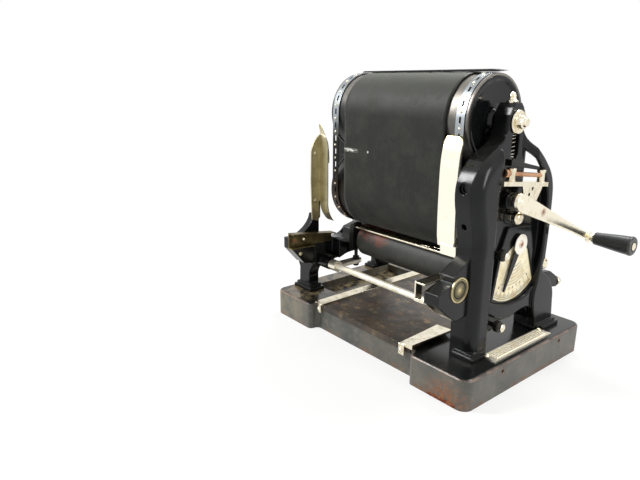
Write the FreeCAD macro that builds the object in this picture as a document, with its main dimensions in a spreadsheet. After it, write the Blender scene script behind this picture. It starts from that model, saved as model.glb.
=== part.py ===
import FreeCAD, Part
import math
import os

from FreeCAD import Placement, Rotation, Vector

# A hand-cranked rotary stencil duplicator, a mimeograph, in millimetres.
# Origin: centre of the underside of the base. +X runs along the cylinders towards
# the crank, +Y to the rear and +Z up. Sides are named as seen from the front.

doc = FreeCAD.newDocument("mimeograph")

# Driving dimensions

DRIVING_SIZES = [
    ("base_length", 404, "base, left to right"),
    ("base_depth", 276, "base, front to rear at the two end blocks"),
    ("base_top", 43, "top of the base above the floor"),
    ("block_inner", 107, "inner side of each end block from the middle"),
    ("rail_front", 122, "front face of the rail between the end blocks"),
    ("base_wall", 8, "thickness of the base casting"),
    ("well_depth", 13, "depth of the paper well in the base"),
    ("cylinder_y", -18, "both cylinder axes, front to rear"),
    ("lower_z", 224, "lower cylinder axis"),
    ("upper_z", 344, "upper cylinder axis"),
    ("belt_radius", 60, "outer radius of the ink belt on a cylinder"),
    ("belt_thick", 1.6, "thickness of the ink belt"),
    ("belt_width", 193, "width of the ink belt"),
    ("shell_radius", 57.5, "outer radius of a cylinder"),
    ("shell_wall", 2, "wall of a cylinder"),
    ("cylinder_length", 258, "length over the two end discs"),
    ("shaft_radius", 6.5, "radius of the cylinder shafts"),
    ("running_gap", 0.05, "radial clearance of a shaft in its bush"),
    ("frame_inner", 137, "inner face of a side frame from the middle"),
    ("frame_web", 160, "outer face of a side frame's web"),
    ("frame_outer", 172, "outer face of the right frame's rim"),
    ("left_inner", 152, "inner face of the left frame from the middle"),
    ("left_outer", 184, "outer face of the left frame's rim from the middle"),
    ("roller_radius", 28, "radius of the impression roller"),
    ("roller_z", 135.4, "axis of the impression roller"),
    ("roller_width", 200, "length of the impression roller"),
    ("rocker_y", -84, "axis of the rocker rod, front to rear"),
    ("rocker_z", 98.5, "axis of the rocker rod, height"),
    ("crank_y", -30, "axis of the crank, front to rear"),
    ("crank_z", 247.5, "axis of the crank, height"),
    ("grip_y", 142, "axis of the grip, front to rear"),
    ("grip_z", 174.5, "axis of the grip, height"),
    ("grip_length", 53, "length of the grip"),
    ("dial_y", 6, "pivot of the dial's pointer, front to rear"),
    ("dial_z", 183, "pivot of the dial's pointer, height"),
    ("dial_radius", 78, "radius of the dial's scale"),
    ("spring_radius", 5.6, "mean radius of a tension spring"),
    ("spring_wire", 1.6, "wire of a tension spring"),
    ("spring_turns", 8, "turns of a tension spring"),
    ("tooth_module", 1.1, "module of the two gears"),
    ("pinion_teeth", 18, "teeth of the gear on the lower cylinder"),
    ("wheel_teeth", 30, "teeth of the gear on the crank"),
]

sheet = doc.addObject("Spreadsheet::Sheet", "Sizes")
for row, (alias, value, meaning) in enumerate(DRIVING_SIZES, start=1):
    sheet.set(f"A{row}", str(value))
    sheet.setAlias(f"A{row}", alias)
    sheet.set(f"B{row}", meaning)
doc.recompute()


def size(alias):
    """The value of one driving dimension."""
    return float(sheet.get(alias))


# Small tools of this file

NODES = []
made = {}


def unique(stem):
    """A fresh internal name for a construction object."""
    made[stem] = made.get(stem, 0) + 1
    return f"{stem}_{made[stem]}"


def bind(item, **formulas):
    """Set each property to a number, or tie it to the sheet with a formula."""
    for name, formula in formulas.items():
        if isinstance(formula, str):
            item.setExpression(name, formula)
        else:
            setattr(item, name, formula)
    return item


def place(item, x, y, z, rotation=None):
    """Put an item at x, y, z, where each may be a number or a formula."""
    numbers = [0.0 if isinstance(value, str) else value for value in (x, y, z)]
    item.Placement = Placement(Vector(*numbers), rotation or Rotation())
    for letter, value in zip("xyz", (x, y, z)):
        if isinstance(value, str):
            item.setExpression(f"Placement.Base.{letter}", value)
    return item


TURN_TO = {
    "X": Rotation(Vector(0, 1, 0), 90),
    "Y": Rotation(Vector(1, 0, 0), -90),
    "Z": Rotation(),
}


def box(x, y, z, length, width, height):
    """A block from its lowest corner."""
    item = doc.addObject("Part::Box", unique("block"))
    bind(item, Length=length, Width=width, Height=height)
    return place(item, x, y, z)


def rod(axis, x, y, z, radius, length):
    """A round bar that starts at x, y, z and runs along +axis."""
    item = doc.addObject("Part::Cylinder", unique("rod"))
    bind(item, Radius=radius, Height=length)
    return place(item, x, y, z, TURN_TO[axis])


PLANES = {
    "XY": Rotation(),
    "YZ": Rotation(Vector(1, 1, 1), 120),
    "ZX": Rotation(Vector(1, 0, 0), 90),
}
LIFT = {"XY": (0, 0, 1), "YZ": (1, 0, 0), "ZX": (0, 1, 0)}


def draw(sketch, path):
    """Fill a sketch with a closed path of points.

    A plain pair is the end of a straight run. ("arc", through, end) is an arc, and
    ("curve", points) is one smooth curve through the points that are listed.
    """
    def vector(point):
        return Vector(point[0], point[1], 0)

    here = start = vector(path[0])
    for step in list(path[1:]) + [path[0]]:
        if step[0] == "arc":
            end = vector(step[2])
            sketch.addGeometry(Part.Arc(here, vector(step[1]), end), False)
        elif step[0] == "curve":
            points = [here] + [vector(point) for point in step[1]]
            curve = Part.BSplineCurve()
            curve.interpolate(points)
            end = points[-1]
            sketch.addGeometry(curve, False)
        else:
            end = vector(step)
            if end.distanceToPoint(here) < 1e-6:
                continue
            sketch.addGeometry(Part.LineSegment(here, end), False)
        here = end
    if here.distanceToPoint(start) > 1e-6:
        sketch.addGeometry(Part.LineSegment(here, start), False)
    return sketch


def profile(plane, level, path):
    """A sketch on a plane at a level, a number or a formula."""
    sketch = doc.addObject("Sketcher::SketchObject", unique("outline"))
    draw(sketch, path)
    offset = [level if share else 0.0 for share in LIFT[plane]]
    return place(sketch, *offset, PLANES[plane])


def plate(plane, level, thick, path):
    """A solid of one thickness: in YZ it grows towards +X, in XY towards +Z,
    and in ZX, whose pairs are (x, z), from the level towards -Y."""
    item = doc.addObject("Part::Extrusion", unique("plate"))
    item.Base = profile(plane, level, path)
    item.DirMode = "Normal"
    item.Solid = True
    bind(item, LengthFwd=thick)
    return item


def turned(axis, x, y, z, path):
    """A turned piece. The path's pairs are (distance along the axis, radius)."""
    sketch = doc.addObject("Sketcher::SketchObject", unique("half_section"))
    draw(sketch, path)
    item = doc.addObject("Part::Revolution", unique("turned"))
    item.Source = sketch
    item.Base = Vector(0, 0, 0)
    item.Axis = Vector(1, 0, 0)
    item.Angle = 360
    item.Solid = True
    turns = {"X": Rotation(), "Y": Rotation(Vector(0, 0, 1), 90), "Z": Rotation(Vector(0, 1, 0), -90)}
    return place(item, x, y, z, turns[axis])


def join(*items):
    item = doc.addObject("Part::MultiFuse", unique("joined"))
    item.Shapes = list(items)
    item.Refine = True
    return item


def group(*items):
    """Separate solids that are one sub-part, such as a set of screws."""
    item = doc.addObject("Part::Compound", unique("group"))
    item.Links = list(items)
    return item


def cut(base, *tools):
    item = doc.addObject("Part::Cut", unique("cut"))
    item.Base = base
    item.Tool = tools[0] if len(tools) == 1 else group(*tools)
    item.Refine = True
    return item


def common(base, tool):
    item = doc.addObject("Part::Common", unique("common"))
    item.Base = base
    item.Tool = tool
    return item


def mirror(item, plane="YZ"):
    """The item's mirror image in the plane x = 0."""
    other = doc.addObject("Part::Mirroring", unique("mirror"))
    other.Source = item
    other.Normal = Vector(1, 0, 0) if plane == "YZ" else Vector(0, 1, 0)
    return other


def rounded(base, radius, wanted):
    """Round the edges that the test wanted(edge) picks."""
    doc.recompute()
    picks = [
        (number, radius, radius)
        for number, edge in enumerate(base.Shape.Edges, start=1)
        if wanted(edge)
    ]
    if not picks:
        raise ValueError(f"no edge to round on {base.Name}")
    item = doc.addObject("Part::Fillet", unique("rounded"))
    item.Base = base
    item.Edges = picks
    doc.recompute()
    return item


def node(name, item):
    """Name a finished sub-part."""
    item.Label = name
    NODES.append(item)
    return item


def finished(name):
    """A sub-part that was named before, to fit another one against it."""
    return next(item for item in NODES if item.Label == name)


def upright(edge):
    """True for an edge that runs straight up."""
    span = edge.BoundBox
    return span.ZLength > 1 and span.XLength < 0.01 and span.YLength < 0.01


AXIS_Y = "Sizes.cylinder_y"
LOWER_Z = "Sizes.lower_z"
UPPER_Z = "Sizes.upper_z"
Y0 = size("cylinder_y")
LZ = size("lower_z")
UZ = size("upper_z")
BASE_TOP = size("base_top")


# The base

def add_base():
    """One iron casting, hollow below, H-shaped in plan, with a paper well on the left."""
    half_long = size("base_length") / 2
    half_deep = size("base_depth") / 2
    inner = size("block_inner")
    rail = size("rail_front")
    wall = size("base_wall")
    body = doc.addObject("PartDesign::Body", "base_body")
    plan = [
        (-half_long, -half_deep), (-inner, -half_deep), (-inner, -rail), (inner, -rail),
        (inner, -half_deep), (half_long, -half_deep), (half_long, half_deep),
        (inner, half_deep), (inner, rail), (-inner, rail), (-inner, half_deep),
        (-half_long, half_deep),
    ]
    floor_plane = [plane for plane in body.Origin.OriginFeatures if plane.Role == "XY_Plane"][0]

    def flat_sketch(name, level, path):
        sketch = body.newObject("Sketcher::SketchObject", name)
        sketch.AttachmentSupport = [(floor_plane, "")]
        sketch.MapMode = "FlatFace"
        if level:
            sketch.setExpression("AttachmentOffset.Base.z", level)
        return draw(sketch, path)

    def pocket(name, level, depth, upwards, path):
        item = body.newObject("PartDesign::Pocket", name)
        item.Profile = flat_sketch(f"{name}_plan", level, path)
        item.Reversed = upwards
        bind(item, Length=depth)
        doc.recompute()
        return item

    blank = body.newObject("PartDesign::Pad", "base_blank")
    blank.Profile = flat_sketch("base_plan", None, plan)
    bind(blank, Length="Sizes.base_top")
    doc.recompute()

    def corner_edges(shape, wanted):
        return [f"Edge{n}" for n, edge in enumerate(shape.Edges, start=1)
                if upright(edge) and wanted(abs(edge.BoundBox.XMin))]

    corners = body.newObject("PartDesign::Fillet", "base_corners")
    corners.Base = (blank, corner_edges(blank.Shape, lambda x: x > inner + 1))
    corners.Radius = 14
    doc.recompute()
    steps = body.newObject("PartDesign::Fillet", "base_steps")
    steps.Base = (corners, corner_edges(corners.Shape, lambda x: x < inner + 1))
    steps.Radius = 7.5
    doc.recompute()

    rim = body.newObject("PartDesign::Fillet", "base_rim")
    top = [
        f"Edge{n}" for n, edge in enumerate(steps.Shape.Edges, start=1)
        if edge.BoundBox.ZMin > BASE_TOP - 0.01
    ]
    rim.Base = (steps, top)
    rim.Radius = 4
    doc.recompute()

    # The casting is hollow below, and less deeply so on the left, under the well's floor.
    side, front, split = half_long - wall, rail - wall, -104
    pocket("right_hollow", None, "Sizes.base_top - Sizes.base_wall", True,
           [(split, -front), (side, -front), (side, front), (split, front)])
    pocket("left_hollow", None, "Sizes.base_top - Sizes.well_depth - 4", True,
           [(-side, -front), (split, -front), (split, front), (-side, front)])
    pocket("paper_well", "Sizes.base_top", "Sizes.well_depth", False,
           [(-172, -72), (-113, -72), (-113, 107), (-172, 107)])

    bores = [rod("X", side * half_long - 12, y, 33, 2.5, 24) for side in (-1, 1) for y in (-63, 76)]
    node("base_casting", cut(body, *bores))


def add_table():
    """The sheet-steel feed table, its two side strips and the ribbed plate by the frame."""
    sheet_thick = 1.2
    top = box(-112, -124, "Sizes.base_top", 210, 236, sheet_thick)
    apron = box(-97, -124, 35, 194, 2, BASE_TOP - 35 + sheet_thick)
    node("feed_table", join(top, apron))

    strip_z = BASE_TOP + sheet_thick
    left = join(
        box(-108, -127, strip_z, 18, 243, 2),
        box(-103, -127, 30, 9, 3, strip_z + 2 - 30),
    )
    node("left_paper_guide", left)

    # The right guide is a wide, slightly tapered plate that rises towards the crank side.
    section = [(70, strip_z), (76, strip_z), (108, 50.4), (108, 52), (76.4, strip_z + 1.6),
               (70, strip_z + 1.6)]
    front_end = [(70, strip_z), (108, strip_z), (108, 52), (76.4, strip_z + 1.6), (70, strip_z + 1.6)]
    plan = plate("XY", BASE_TOP, 14, [(80.5, -128), (104, -128), (107, -48), (74, -40)])
    guide = common(join(plate("ZX", -30, 98, section), plate("ZX", -124.4, 3.6, front_end)), plan)
    tab = box(80.5, -129.5, 31, 10, 2.5, 16)
    node("right_paper_guide", join(guide, tab))

    ribs = [box(174.5 + 3.4 * n, -59.5, "Sizes.base_top + 2", 1.6, 118, 1.4) for n in range(5)]
    node("base_strip_plate", join(box(172.5, -67, "Sizes.base_top", 21, 133, 2), *ribs))


# The two side frames

# Outlines of the frames as (y, z): the flared front edge, the neck, its round-topped
# bearing housing, the rear edge, the rear foot and the arch under the frame.
FRONT_EDGE = [("curve", [(-97, 231), (-102, 256), (-100, 276), (-90, 292), (-72, 306), (-52, 317)])]
NECK = [("curve", [(-40, 325), (-34, 340)])]
HEAD = [(-34, 353), (-29, 362), (-24, 367), (-12, 367), (-7, 362), (-2, 353), (-2, 333)]
REAR_EDGE = [(4, 322), (20, 309), (40, 293), (56, 275), (65, 254), (67, 234), (68, 192), (67, 157)]
REAR_FOOT = [(67, 154), ("arc", (61, 142.5), (65, 131)), ("curve", [(76, 124), (90, 110), (99, 84)]),
             (104, BASE_TOP)]
RIM_INSIDE = [(58, BASE_TOP), (57, 62), ("curve", [(48, 84), (47, 100), (51, 118), (54, 140), (57, 165),
              (57, 192), (55, 234), (50, 256), (37, 279), (26, 291), (12, 303), (-2, 312)])]
LEFT_RIM_INSIDE = [(76, BASE_TOP), (78, 72), ("curve", [(62, 98), (54, 118), (54, 140), (57, 160), (59, 192),
                   (54, 234), (50, 252), (42, 268), (30, 284), (14, 297), (-2, 306)])]
ARCH = [(60, BASE_TOP), (59, 54), ("curve", [(52, 71), (32, 80), (5, 77), (-15, 76), (-34, 81),
                                         (-54, 94), (-64, 108)]), (-64, 60), (-64, BASE_TOP)]


def add_right_frame():
    """The right frame: a web with a proud rim and a wide, rounded front column."""
    inner, web, outer = size("frame_inner"), size("frame_web"), size("frame_outer")
    whole = [(-91, BASE_TOP), (-92, 180)] + FRONT_EDGE + NECK + HEAD
    whole += [("curve", REAR_EDGE)] + REAR_FOOT + ARCH
    inner_part = plate("YZ", "Sizes.frame_inner", "Sizes.frame_web - Sizes.frame_inner", whole)

    column = [(-91, BASE_TOP), (-92, 180)] + FRONT_EDGE
    column += [("curve", [(-56, 296), (-60, 260)]), (-60, BASE_TOP)]
    proud = "Sizes.frame_outer - Sizes.frame_inner"
    front = rounded(
        plate("YZ", "Sizes.frame_inner", proud, column), 15,
        lambda edge: edge.BoundBox.XMin > outer - 0.01 and edge.BoundBox.YMax < -41.9
        and edge.BoundBox.YMin < -90.5 and edge.BoundBox.ZLength > 50,
    )

    rear = rounded(
        plate("YZ", web - 1, outer - web + 1, [(-2, 333), ("curve", REAR_EDGE)] + REAR_FOOT + RIM_INSIDE),
        2.0, lambda edge: edge.BoundBox.XMin > outer - 0.01 and edge.BoundBox.ZLength > 100,
    )

    lower_rib = [(-66, 104), ("curve", [(-34, 86), (-15, 80), (5, 80.5), (32, 84), (54, 74)]),
                 (62, 74), (62, 112), ("curve", [(54, 114), (34, 105.5), (12, 101), (-14, 102),
                                               (-40, 109), (-66, 122)])]
    rib = rounded(
        plate("YZ", web - 1, 9, lower_rib), 3,
        lambda edge: edge.BoundBox.XMin > web + 7.99 and edge.BoundBox.YLength > 60,
    )

    pads = [
        box(142, -94, "Sizes.base_top", 35, 26, 5), box(142, -69, "Sizes.base_top", 27, 9, 5),
        box(145, -92, "Sizes.base_top + 5", 28, 30, 4),
        box(152, 68, "Sizes.base_top", 28, 41, 5), box(152, 57, "Sizes.base_top", 20, 12, 5),
        box(154, 59, "Sizes.base_top + 5", 22, 47, 4),
    ]
    rocker_boss = rod("X", 120, "Sizes.rocker_y", "Sizes.rocker_z", 9, inner - 119)
    knob_lug = join(rod("X", 150, -38, 78, 11, 11), box(150, -49, 78, 11, 22, 16))
    solid = join(inner_part, front, rear, rib, rocker_boss, knob_lug, *pads)

    # The hollow behind the web, where the gears run, and the open space at the upper rear.
    behind = [(-82, 128), ("curve", [(-84, 180), (-90, 235), (-92, 262), (-84, 282), (-62, 296)]),
              (-40, 302), (-38, 290), (0, 290), (8, 302), ("curve", [(30, 286), (46, 264),
              (54, 238), (60, 192), (62, 146)]), ("curve", [(40, 112), (6, 106), (-30, 106), (-60, 112)])]
    hollow = plate("YZ", inner - 1, 14, behind)
    open_rear = plate("XY", 258, 82, [(inner - 5, 5), (web - 1.5, 5), (outer - 5, 20), (outer - 5, 80),
                                      (inner - 5, 80)])
    ramp = plate("XY", 296, 44, [(web, -3), (outer + 1, -3), (outer + 1, 22), (outer, 20), (web, -2)])
    neck_slot = join(
        box(inner - 1, "Sizes.cylinder_y - 8", 305, 40, 16, 52),
        rod("X", inner - 1, "Sizes.cylinder_y", 305, 8, 40),
    )
    bores = [
        rod("X", inner, "Sizes.cylinder_y", LOWER_Z, 10, 40),
        rod("X", inner, "Sizes.crank_y", "Sizes.crank_z", 10, 40),
        rod("X", 119, "Sizes.rocker_y", "Sizes.rocker_z", "5 + Sizes.running_gap", 27),
        box(inner - 1, Y0 - 5.4, 124, 30, 10.8, 22),
    ]
    keyhole = rod("Y", 148, -110, 219, 4, 22)
    pocket = rod("Y", 149, -130, 268, 7, 34)
    node("right_side_frame", cut(solid, hollow, open_rear, ramp, neck_slot, *bores, keyhole, pocket))


def add_left_frame():
    """The left frame stands behind the cylinders and reaches forward only low down."""
    inner, outer = size("left_inner"), size("left_outer")
    web = inner + 20
    whole = [(-104, 96), (-104, 147), (-84, 147), ("curve", [(-66, 138), (-54, 133), (-40, 130),
             (-22, 133), (-12, 142)]), (10, 147), ("curve", [(24, 156), (20, 170),
             (0, 184), (-20, 198), (-27, 216)]), (-28, 330), (-30, 345)]
    whole += [(-30, 353), (-27, 361), (-23, 366), (-13, 366), (-8, 361), (-2, 353), (-2, 333)]
    whole += [("curve", REAR_EDGE)] + REAR_FOOT
    whole += [(74, BASE_TOP), (74, 52), ("curve", [(60, 76), (34, 96), (5, 100), (-25, 96),
                                                  (-50, 92), (-72, 90)]), (-84, 84)]
    web_part = plate("YZ", -web, 20, whole)
    rear = plate("YZ", -outer, outer - web + 1,
                 [(-2, 333), ("curve", REAR_EDGE)] + REAR_FOOT + LEFT_RIM_INSIDE)

    # The low arm that reaches in to the impression roller, with the rocker rod's boss.
    beam = plate("YZ", -inner - 1, inner - 136, [
        (-104, 98), (-104, 147), (-84, 147), (-66, 138), (-56, 133.6), (-56, 100), (-88, 100)])
    arm = plate("YZ", -inner - 1, inner - 117, [
        (-67, 106), (-67, 138), ("curve", [(-54, 132), (-40, 129)]), (-34, 130),
        ("curve", [(-30, 136), (-28, 145.5)]), (-24, 146), (-11, 146), (-4, 138), (0, 118),
        (-24, 113), (-50, 112)])
    rocker_boss = rod("X", -inner - 1, "Sizes.rocker_y", "Sizes.rocker_z", 10, inner - 119)

    # The short front column, whose foot stands nearer the end of the base.
    column = join(
        box(-196, -104, "Sizes.base_top", 46, 30, 5),
        box(-192, -101, "Sizes.base_top + 5", 37, 24, 5),
        plate("ZX", -78, 20, [(-188, 52), (-161, 52), (-161, 66), ("curve", [(-158, 80), (-150, 92),
              (-146, 100)]), (-146, 124), (-162, 134), (-188, 124), (-192, 104),
              ("curve", [(-192, 92), (-187, 80)])]),
    )
    rear_pads = [box(-196, 66, "Sizes.base_top", 24, 42, 5), box(-192, 69, "Sizes.base_top + 5", 19.6, 36, 4)]
    rear_leg = box(-187, 74, BASE_TOP + 8, 14, 20, 24)
    over_well = box(-171.9, 60, "Sizes.base_top - 1", 24, 50, 34)
    solid = join(web_part, rear, beam, arm, rocker_boss, column, rear_leg, *rear_pads)
    window = [(5, 262), (5, 303), ("curve", [(20, 293), (33, 280), (44, 264)]), (50, 240), (54, 200),
              (54, 164), (34, 168), (5, 196), (5, 206)]
    opening = plate("YZ", -web - 20, 60, window)
    neck_slot = join(
        box(-web - 20, "Sizes.cylinder_y - 8", 305, 50, 16, 52),
        rod("X", -web - 20, "Sizes.cylinder_y", 305, 8, 50),
    )
    bores = [
        rod("X", -web - 20, "Sizes.cylinder_y", LOWER_Z, 10, 50),
        rod("X", -148, "Sizes.rocker_y", "Sizes.rocker_z", "5 + Sizes.running_gap", 40),
        box(-web + 4, Y0 - 5.4, 124, 90, 10.8, 22),
    ]
    node("left_side_frame", cut(solid, over_well, opening, neck_slot, *bores))


def add_brackets():
    """Cast brackets that carry the feed ledges in front of the cylinders."""
    right = [(-150, 131), (-150, 145), (-122, 154), (-122, 162), (-92, 180), (-91.446, 104), (-114, 102),
             (-127, 111)]
    node("right_front_bracket", plate("YZ", 138, 22, right))
    left = join(
        plate("YZ", -160, 23, [(-150, 131), (-150, 148), (-104, 148), (-104, 100), (-126, 104)]),
        plate("YZ", -150, 13, [(-146, 148), ("curve", [(-128, 157), (-114, 168), (-106, 184)]),
                               (-96, 184), (-96, 148), (-104, 147)]),
    )
    node("left_front_bracket", left)
    disc = turned("X", 160, -111, 144, [(0, 0), (0.9, 0), (0.9, 14.6), (1.8, 14.6), (1.8, 16.4), (0, 16.4)])
    node("medallion", disc)


def add_feed_ledges():
    """Nickel angles on the inner sides of the two brackets."""
    right = join(
        box(122, -150, 152, 16, 44, 2),
        box(122, -150, 128, 2, 12, 26),
        box(122, -150, 128, 15.8, 2, 4),
    )
    node("right_feed_ledge", right)
    left = join(
        plate("YZ", -137, 2, [(-158, 136), (-158, 160), (-71, 149), (-71, 133)]),
        plate("YZ", -137, 14, [(-158, 159), (-158, 161), (-71, 150), (-71, 148)]),
        plate("YZ", -137, 10, [(-158, 134.6), (-158, 136.6), (-112, 135), (-112, 133)]),
    )
    node("left_feed_ledge", left)


def add_edge_guards():
    """Springy nickel strips just in front of the belt's edges."""
    right_side = [(-92, 187), ("curve", [(-94, 215), (-95, 260), (-94, 300), (-90, 320), (-87, 328)]),
                  (-85, 327), ("curve", [(-88, 319), (-92, 300), (-93, 260), (-92, 215), (-90, 187)])]
    blank = plate("YZ", 106, 29, right_side)
    face = [(107, 187), (131, 187), (134, 196), (134, 318), ("arc", (131, 325), (124, 328)),
            (108, 328), (106, 320), (106, 200)]
    tail = plate("YZ", 112, 25, [(-93, 190), (-92, 176), (-91.9, 176), (-88, 190)])
    node("right_edge_guard", join(common(blank, plate("ZX", -80, 20, face)), tail))

    strip = [(-96, 205), ("curve", [(-96, 250), (-95, 300), (-94, 312)]), (-92.5, 312),
             ("curve", [(-93.5, 300), (-94.4, 250), (-94.4, 205)])]
    front = common(
        plate("YZ", -135.6, 20.6, strip),
        plate("ZX", -90, 8, [(-135.6, 203), (-115, 203), (-115, 292), ("curve", [(-120, 304), (-134, 311)]),
                             (-135.6, 311)]),
    )
    tongue_side = [(-96, 206), ("curve", [(-95, 190), (-87, 176), (-70, 164), (-58, 157)]),
                   ("curve", [(-70, 162), (-85, 174), (-93.4, 190), (-94.4, 206)])]
    tongue = common(
        plate("YZ", -133, 28, tongue_side),
        plate("ZX", -50, 60, [(-120, 150), (-106, 150), (-112, 180), (-115, 208), (-133, 208),
                              ("curve", [(-131, 190), (-127, 172)])]),
    )
    flange = plate("YZ", -137, 1.8, [(-94.4, 178), (-94.4, 311), ("curve", [(-104, 303), (-112, 286)]),
                                     (-113, 240), (-111, 176), (-100, 172)])
    node("left_edge_guard", join(front, tongue, flange))


def add_dial():
    """The pressure dial: cast bezel, sector plate, washer and pointer."""
    web = size("frame_web")
    y, z, radius = size("dial_y"), size("dial_z"), size("dial_radius")

    def on_arc(angle, r):
        """A point at r from the pivot, the angle in degrees from straight down."""
        turn = math.radians(angle)
        return (y + r * math.sin(turn), z - r * math.cos(turn))

    recess = [(-41.5, 115), ("arc", (6, 102.6), (53, 121.4)), (33, 171), (20, 184), (-2, 184), (-32, 166)]
    bezel_out = [(-47, 112), ("arc", (6, 98), (60, 117.5)), (50, 152), (35, 199), ("arc", (34, 203), (30, 204)),
                 (-16, 209), ("arc", (-20, 208), (-22, 204)), (-34, 178)]
    sector = [(-41.2, 115.2), ("arc", (6, 102.9), (52.7, 121.6)), (32.7, 170.8), (19.8, 183.7),
              (-1.8, 183.7), (-31.7, 165.8)]
    raised = 4
    bezel = cut(plate("YZ", web, raised, bezel_out), plate("YZ", web + 0.6, raised, recess))
    bore = rod("X", web, "Sizes.dial_y", "Sizes.dial_z", 3, 12)
    node("dial_bezel", cut(bezel, bore, finished("right_side_frame")))
    node("dial_plate", cut(plate("YZ", web + 0.6, 1.5, sector), bore, finished("right_side_frame")))
    node("dial_washer", turned(
        "X", web + 2, "Sizes.dial_y", "Sizes.dial_z",
        [(-2, 0), (7.5, 0), (7.5, 4), (6.6, 5), (6.6, 14), (5.4, 14), (5.4, 2.9), (-2, 2.9)]))
    tip_angle = -24
    pointer_z = web + 4.4
    start_left, start_right = on_arc(tip_angle - 24, 14), on_arc(tip_angle + 24, 14)
    needle = [on_arc(tip_angle - 40, 7), start_left, on_arc(tip_angle - 1, 68),
              on_arc(tip_angle + 1, 68), start_right, on_arc(tip_angle + 40, 7)]
    ring = rod("X", pointer_z, "Sizes.dial_y", "Sizes.dial_z", 9, 2.4)
    hole = rod("X", pointer_z - 1, "Sizes.dial_y", "Sizes.dial_z", 2.95, 6)
    node("dial_pointer", cut(join(plate("YZ", pointer_z, 2.4, needle), ring), hole))


# The two cylinders and the belt that runs over them

def stadium(half_width, radius, wall, x_start):
    """A closed loop round both cylinders: two half turns and two straight runs."""
    def loop(r):
        return [(Y0 - r, LZ), ("arc", (Y0, LZ - r), (Y0 + r, LZ)), (Y0 + r, UZ),
                ("arc", (Y0, UZ + r), (Y0 - r, UZ))]
    outside = plate("YZ", x_start, half_width, loop(radius))
    inside = plate("YZ", x_start - 1, half_width + 2, loop(radius - wall))
    return cut(outside, inside)


def add_belt():
    """The ink belt, its perforated side bands, their studs and the stencil clamp."""
    radius, thick, width = size("belt_radius"), size("belt_thick"), size("belt_width")
    node("ink_belt", stadium(width, radius, thick, -width / 2))

    band_width, band_inner = 13, 111.5
    band_radius, band_thick = radius - 0.5, 1.0
    slot_count, slot_pitch = 30, 20.4
    straight = UZ - LZ
    quarter = math.pi * band_radius / 2

    def along(distance):
        """Centre, y, z and outward angle of a point on the loop, from the front low point."""
        distance = distance % (2 * straight + 4 * quarter)
        if distance < straight:
            return Y0 - band_radius, LZ + distance, 180.0
        distance -= straight
        if distance < 2 * quarter:
            angle = 180.0 - math.degrees(distance / band_radius)
            turn = math.radians(angle)
            return Y0 + band_radius * math.cos(turn), UZ + band_radius * math.sin(turn), angle
        distance -= 2 * quarter
        if distance < straight:
            return Y0 + band_radius, UZ - distance, 0.0
        distance -= straight
        angle = -math.degrees(distance / band_radius)
        turn = math.radians(angle)
        return Y0 + band_radius * math.cos(turn), LZ + band_radius * math.sin(turn), angle

    slots, studs = [], []
    for side in (-1, 1):
        middle = side * (band_inner + band_width / 2)
        for number in range(slot_count):
            y, z, angle = along(number * slot_pitch)
            slot = box(middle - 1.6, 0, 0, 3.2, 6, 8)
            turn = Rotation(Vector(1, 0, 0), angle)
            corner = turn.multVec(Vector(0, -3, -4))
            slot.Placement = Placement(Vector(middle - 1.6, y + corner.y, z + corner.z), turn)
            slots.append(slot)
            y, z, angle = along((number + 0.5) * slot_pitch)
            if z > UZ + band_radius - 1.5:
                continue  # the clamp bar lies here
            head = doc.addObject("Part::Sphere", unique("stud"))
            head.Radius = 1.9
            head.Angle1 = 0
            tilt = Rotation(Vector(1, 0, 0), angle - 90)
            head.Placement = Placement(Vector(middle, y, z), tilt)
            studs.append(head)
    bands = [
        stadium(band_width, band_radius, band_thick, x)
        for x in (band_inner, -band_inner - band_width)
    ]
    punched = cut(group(*bands), *slots)
    node("band_studs", group(*studs))

    clamp_z = UZ + radius
    clamp = [(-116, clamp_z), (122, clamp_z), (137, clamp_z + 1.6), (122, clamp_z + 3.4),
             (-112, clamp_z + 2.2)]
    bar = plate("ZX", Y0 + 7, 14, clamp)
    links = [
        rod("X", side * 104 - 7.5, Y0 - radius + 1.2, z, 1.0, 15)
        for side in (-1, 1) for z in (281, 269)
    ]
    node("stencil_clamp_bar", bar)
    node("perforated_bands", group(punched, *links))


def cylinder(name, height):
    """A drum: shell, flanged ends and dished end discs."""
    half = size("cylinder_length") / 2
    shell_r, wall = size("shell_radius"), size("shell_wall")
    flange = shell_r + 1.2
    path = [(-half + 0.5, shell_r - wall), (-half + 0.5, flange), (-half + 3.5, flange),
            (-half + 3.5, shell_r), (half - 3.5, shell_r), (half - 3.5, flange),
            (half - 0.5, flange), (half - 0.5, shell_r - wall)]
    node(f"{name}_drum", turned("X", 0, AXIS_Y, height, path))
    inner = shell_r - wall
    bore = size("shaft_radius") + (size("running_gap") if name == "upper" else 0)
    disc_path = [(half - 9, bore), (half + 3, bore), (half + 3, 13), (half - 2, 15),
                 (half - 4, 22), (half - 2.5, inner - 7), (half, inner - 4), (half, inner),
                 (half - 9, inner), (half - 9, inner - 3), (half - 6, inner - 8), (half - 8, 17)]
    disc = turned("X", 0, AXIS_Y, height, disc_path)
    node(f"{name}_end_discs", group(disc, mirror(disc)))


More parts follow.
